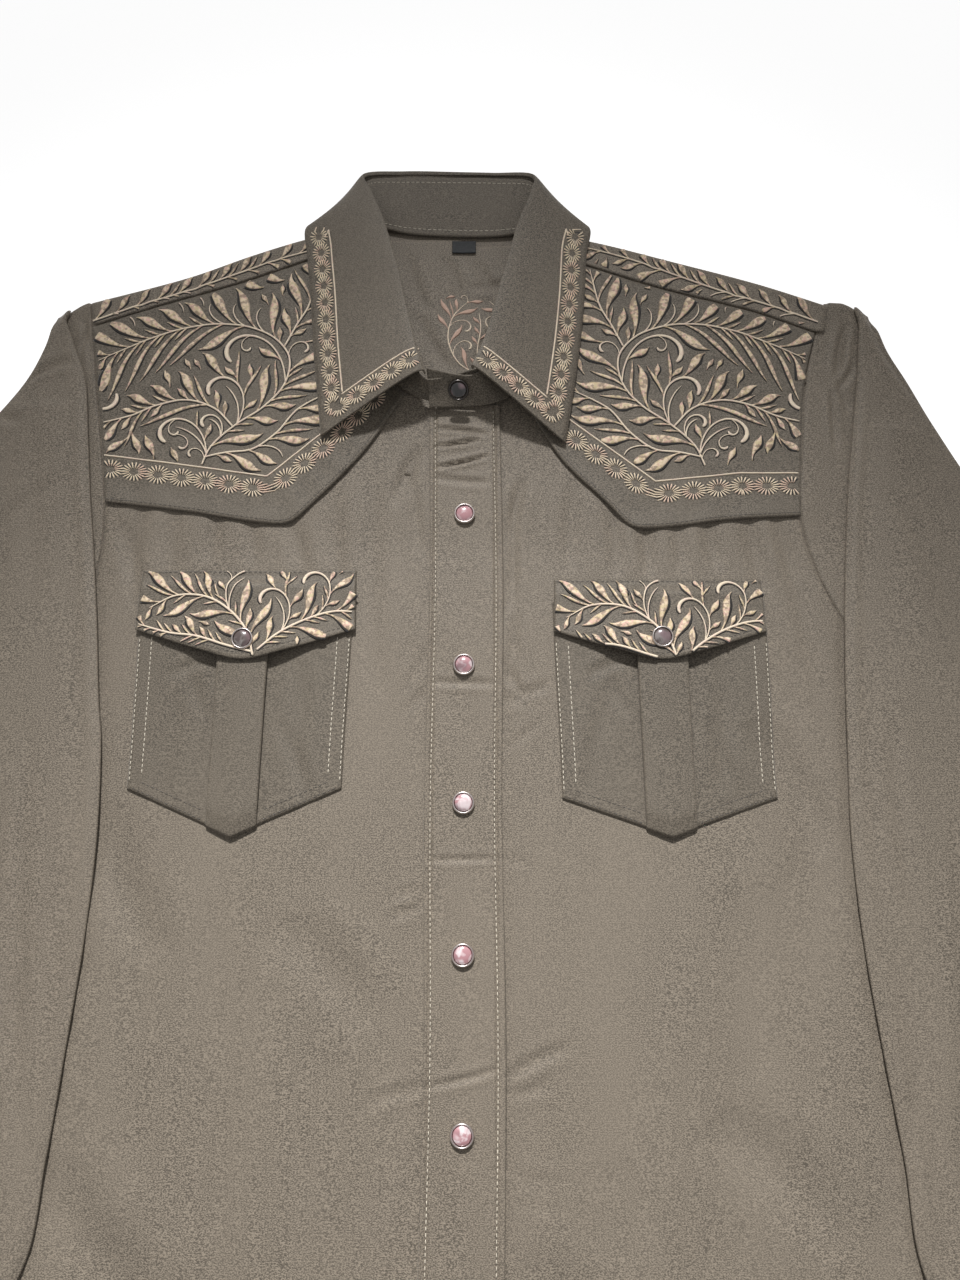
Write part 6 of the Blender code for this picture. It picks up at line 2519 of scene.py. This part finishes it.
@dataclass
class Studio:
    """Pale floor, soft lights and the camera."""

    camera_place: tuple[float, float, float] = (0.0085, -0.0193, 0.5021)
    camera_tip: float = math.radians(13.8)
    lens: float = 27.03
    floor_colour: tuple[float, float, float] = (0.93, 0.93, 0.93)

    def floor(self) -> None:
        """Wide plain floor."""
        mesh = bpy.data.meshes.new("studio_floor")
        size = 4.0
        corners = [(-size, -size, 0), (size, -size, 0), (size, size, 0), (-size, size, 0)]
        mesh.from_pydata(corners, [], [(0, 1, 2, 3)])
        paint = Finish("studio_floor", "floor", self.floor_colour, 0.9).material()
        shader = paint.node_tree.nodes["Principled BSDF"]
        shader.inputs["Emission Color"].default_value = (1.0, 1.0, 1.0, 1.0)
        shader.inputs["Emission Strength"].default_value = 0.66
        mesh.materials.append(paint)
        floor = bpy.data.objects.new("studio_floor", mesh)
        bpy.context.scene.collection.objects.link(floor)

    def spot(
        self, name: str, place: Sequence[float], aim: Sequence[float], cone: float, size: float, power: float
    ) -> None:
        """Soft spot light that fades evenly to the edge of its cone.

        Args:
            name: name of the light.
            place: where it stands.
            aim: where it points.
            cone: angle of its cone.
            size: radius of the lamp.
            power: watts.
        """
        light = bpy.data.lights.new(name, "SPOT")
        light.spot_size, light.spot_blend, light.shadow_soft_size, light.energy = cone, 1.0, size, power
        lamp = bpy.data.objects.new(name, light)
        lamp.location = place
        lamp.rotation_euler = (Vector(aim) - Vector(place)).to_track_quat("-Z", "Y").to_euler()
        bpy.context.scene.collection.objects.link(lamp)

    def build(self) -> None:
        """Floor, lights, world and camera."""
        self.floor()
        self.spot("key", (-0.12, 2.02, 1.84), (0.008, -0.42, 0.0), math.radians(24.0), 0.14, 512.0)
        world = bpy.data.worlds.new("studio_air")
        world.use_nodes = True
        world.node_tree.nodes["Background"].inputs["Color"].default_value = (1.0, 1.0, 1.0, 1.0)
        world.node_tree.nodes["Background"].inputs["Strength"].default_value = 0.335
        bpy.context.scene.world = world
        camera = bpy.data.objects.new("camera", bpy.data.cameras.new("camera"))
        camera.data.sensor_fit = "VERTICAL"
        camera.data.sensor_height = 36.0
        camera.data.lens = self.lens
        camera.data.clip_start = 0.01
        camera.location = self.camera_place
        camera.rotation_euler = (self.camera_tip, 0.0, 0.0)
        bpy.context.scene.collection.objects.link(camera)
        bpy.context.scene.camera = camera
        bpy.context.scene.view_settings.view_transform = "Standard"


def declare_sheets() -> None:
    """Table of every piece of cloth: its width and length, its flat area, and what it lies on, built here and
    not passed on.
    """
    cuts = {
        "back": ((0.52, 0.60), 0.283, "studio_floor"),
        "back_yoke": ((0.44, 0.19), 0.057, "back"),
        "yoke_lining": ((0.43, 0.16), 0.049, "back_yoke"),
        "front_right": ((0.28, 0.74), 0.170, "back"),
        "front_left": ((0.26, 0.74), 0.150, "back"),
        "placket": ((0.041, 0.64), 0.0256, "front_right"),
        "collar_stand": ((0.44, 0.042), 0.0133, "back_yoke"),
        "collar_leaf": ((0.52, 0.076), 0.0210, "collar_stand"),
    }
    for word in (side.word for side in Side):
        cuts |= {
            f"front_yoke_{word}": ((0.17, 0.17), 0.0204, f"front_{word}"),
            f"pocket_{word}": ((0.165, 0.132), 0.0170, f"front_{word}"),
            f"flap_{word}": ((0.116, 0.052), 0.0051, f"pocket_{word}"),
            f"sleeve_{word}": ((0.46, 0.56), 0.163, f"front_{word}"),
            f"cuff_{word}": ((0.255, 0.064), 0.0162, f"sleeve_{word}"),
        }


def main() -> None:
    """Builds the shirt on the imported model, then the room."""
    logging.basicConfig(level=logging.INFO, format="%(name)s %(message)s")
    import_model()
    wardrobe, lay = Wardrobe(), Lay()
    body = Body(lay, wardrobe)
    body.build()
    yokes = {side: FrontYoke(lay, wardrobe, side) for side in Side}
    pockets = {
        Side.RIGHT: ChestPocket(
            lay, wardrobe, Side.RIGHT, centre=-0.1165, half=0.0560, top=0.128, corner=0.024, tip=0.000,
            flap_half=0.0580, flap_top=0.1420, flap_corner=0.1080, flap_tip=0.0910, lean=0.012,
        ),
        Side.LEFT: ChestPocket(
            lay, wardrobe, Side.LEFT, centre=0.1045, half=0.0560, top=0.124, corner=0.019, tip=0.000,
            flap_half=0.0560, flap_top=0.1365, flap_corner=0.1070, flap_tip=0.0910, lean=-0.012,
        ),
    }
    sleeves = {
        Side.RIGHT: Sleeve(lay, wardrobe, Side.RIGHT, RIGHT_SLEEVE, creases_of(
            (-234.8, 27.6, -231, -62.7, 0.9, 4, 2), (-212.7, -47.5, -218.6, -104.3, 0.7, 4, 1),
            (-221.5, -118, -223.5, -172, 1.5, 3.2, -1.5), (-223, -160, -222, -215, 1.3, 2, 1),
            (-222.8, 196.4, -271, 149.2, 0.5, 4.5, 3), (-224.1, 297.1, -214, 262, 0.6, 2.4, -2),
            (-300, 90, -318, -60, 0.5, 9, 5), (-340, 30, -330, -200, 0.5, 9, -5),
            (-270, 20, -262, -160, 0.5, 8, 4), (-220, 292, -224, 270, 0.8, 1.6, -1),
            (-252, 256, -222, 267, 0.9, 2.6, -3), (-266, 236, -250, 231, 0.9, 3, 1),
            (-238, 226, -232, 120, 0.4, 6, 2), (-226, 60, -208, -150, 0.7, 5, 3),
            (-246, -20, -222, -190, 0.8, 4.5, -3), (-258, 130, -300, 20, 0.4, 9, 4),
        )),
        Side.LEFT: Sleeve(lay, wardrobe, Side.LEFT, LEFT_SLEEVE, creases_of(
            (212.9, -115.6, 210.1, -173.7, 0.7, 3.6, 1), (239.2, 301.7, 236.6, 287.2, 0.7, 2, 0.5),
            (237, 289, 262, 240, 0.7, 3, 2), (232, 190, 262, 120, 0.5, 5, -3),
            (222, 60, 226, -60, 0.6, 4.4, 2), (300, 80, 316, -80, 0.5, 9, -5),
            (338, 20, 330, -190, 0.5, 9, 5), (262, 0, 256, -170, 0.6, 8, 3),
            (222, 292, 214, 258, 1.7, 2.4, 1.5), (224, 268, 214, 252, 1.5, 2, -1),
            (213, 256, 220, 236, 1.3, 1.8, 1), (209.5, 252, 209, 214, 1.2, 1.6, 0.5),
            (250, 10, 232, -180, 0.8, 5, -3), (272, 40, 250, -190, 0.6, 6, 3),
            (258, 150, 290, 30, 0.4, 9, -4), (214, -60, 226, -200, 0.7, 4, 2),
        )),
    }
    for group in (yokes, pockets, sleeves):
        for side in Side:
            (group[side].cloth if group is yokes else group[side].build)()
            LOG.info("%s %s done", type(group[side]).__name__, side.word)
    collar = Collar(wardrobe)
    collar.build()
    SizeLabel(wardrobe, body).build()
    Snaps(wardrobe, pockets).build()
    Threadwork(lay, wardrobe, body, yokes, pockets, collar).build()
    Studio().build()
    declare_sheets()


if __name__ == "__main__":
    main()
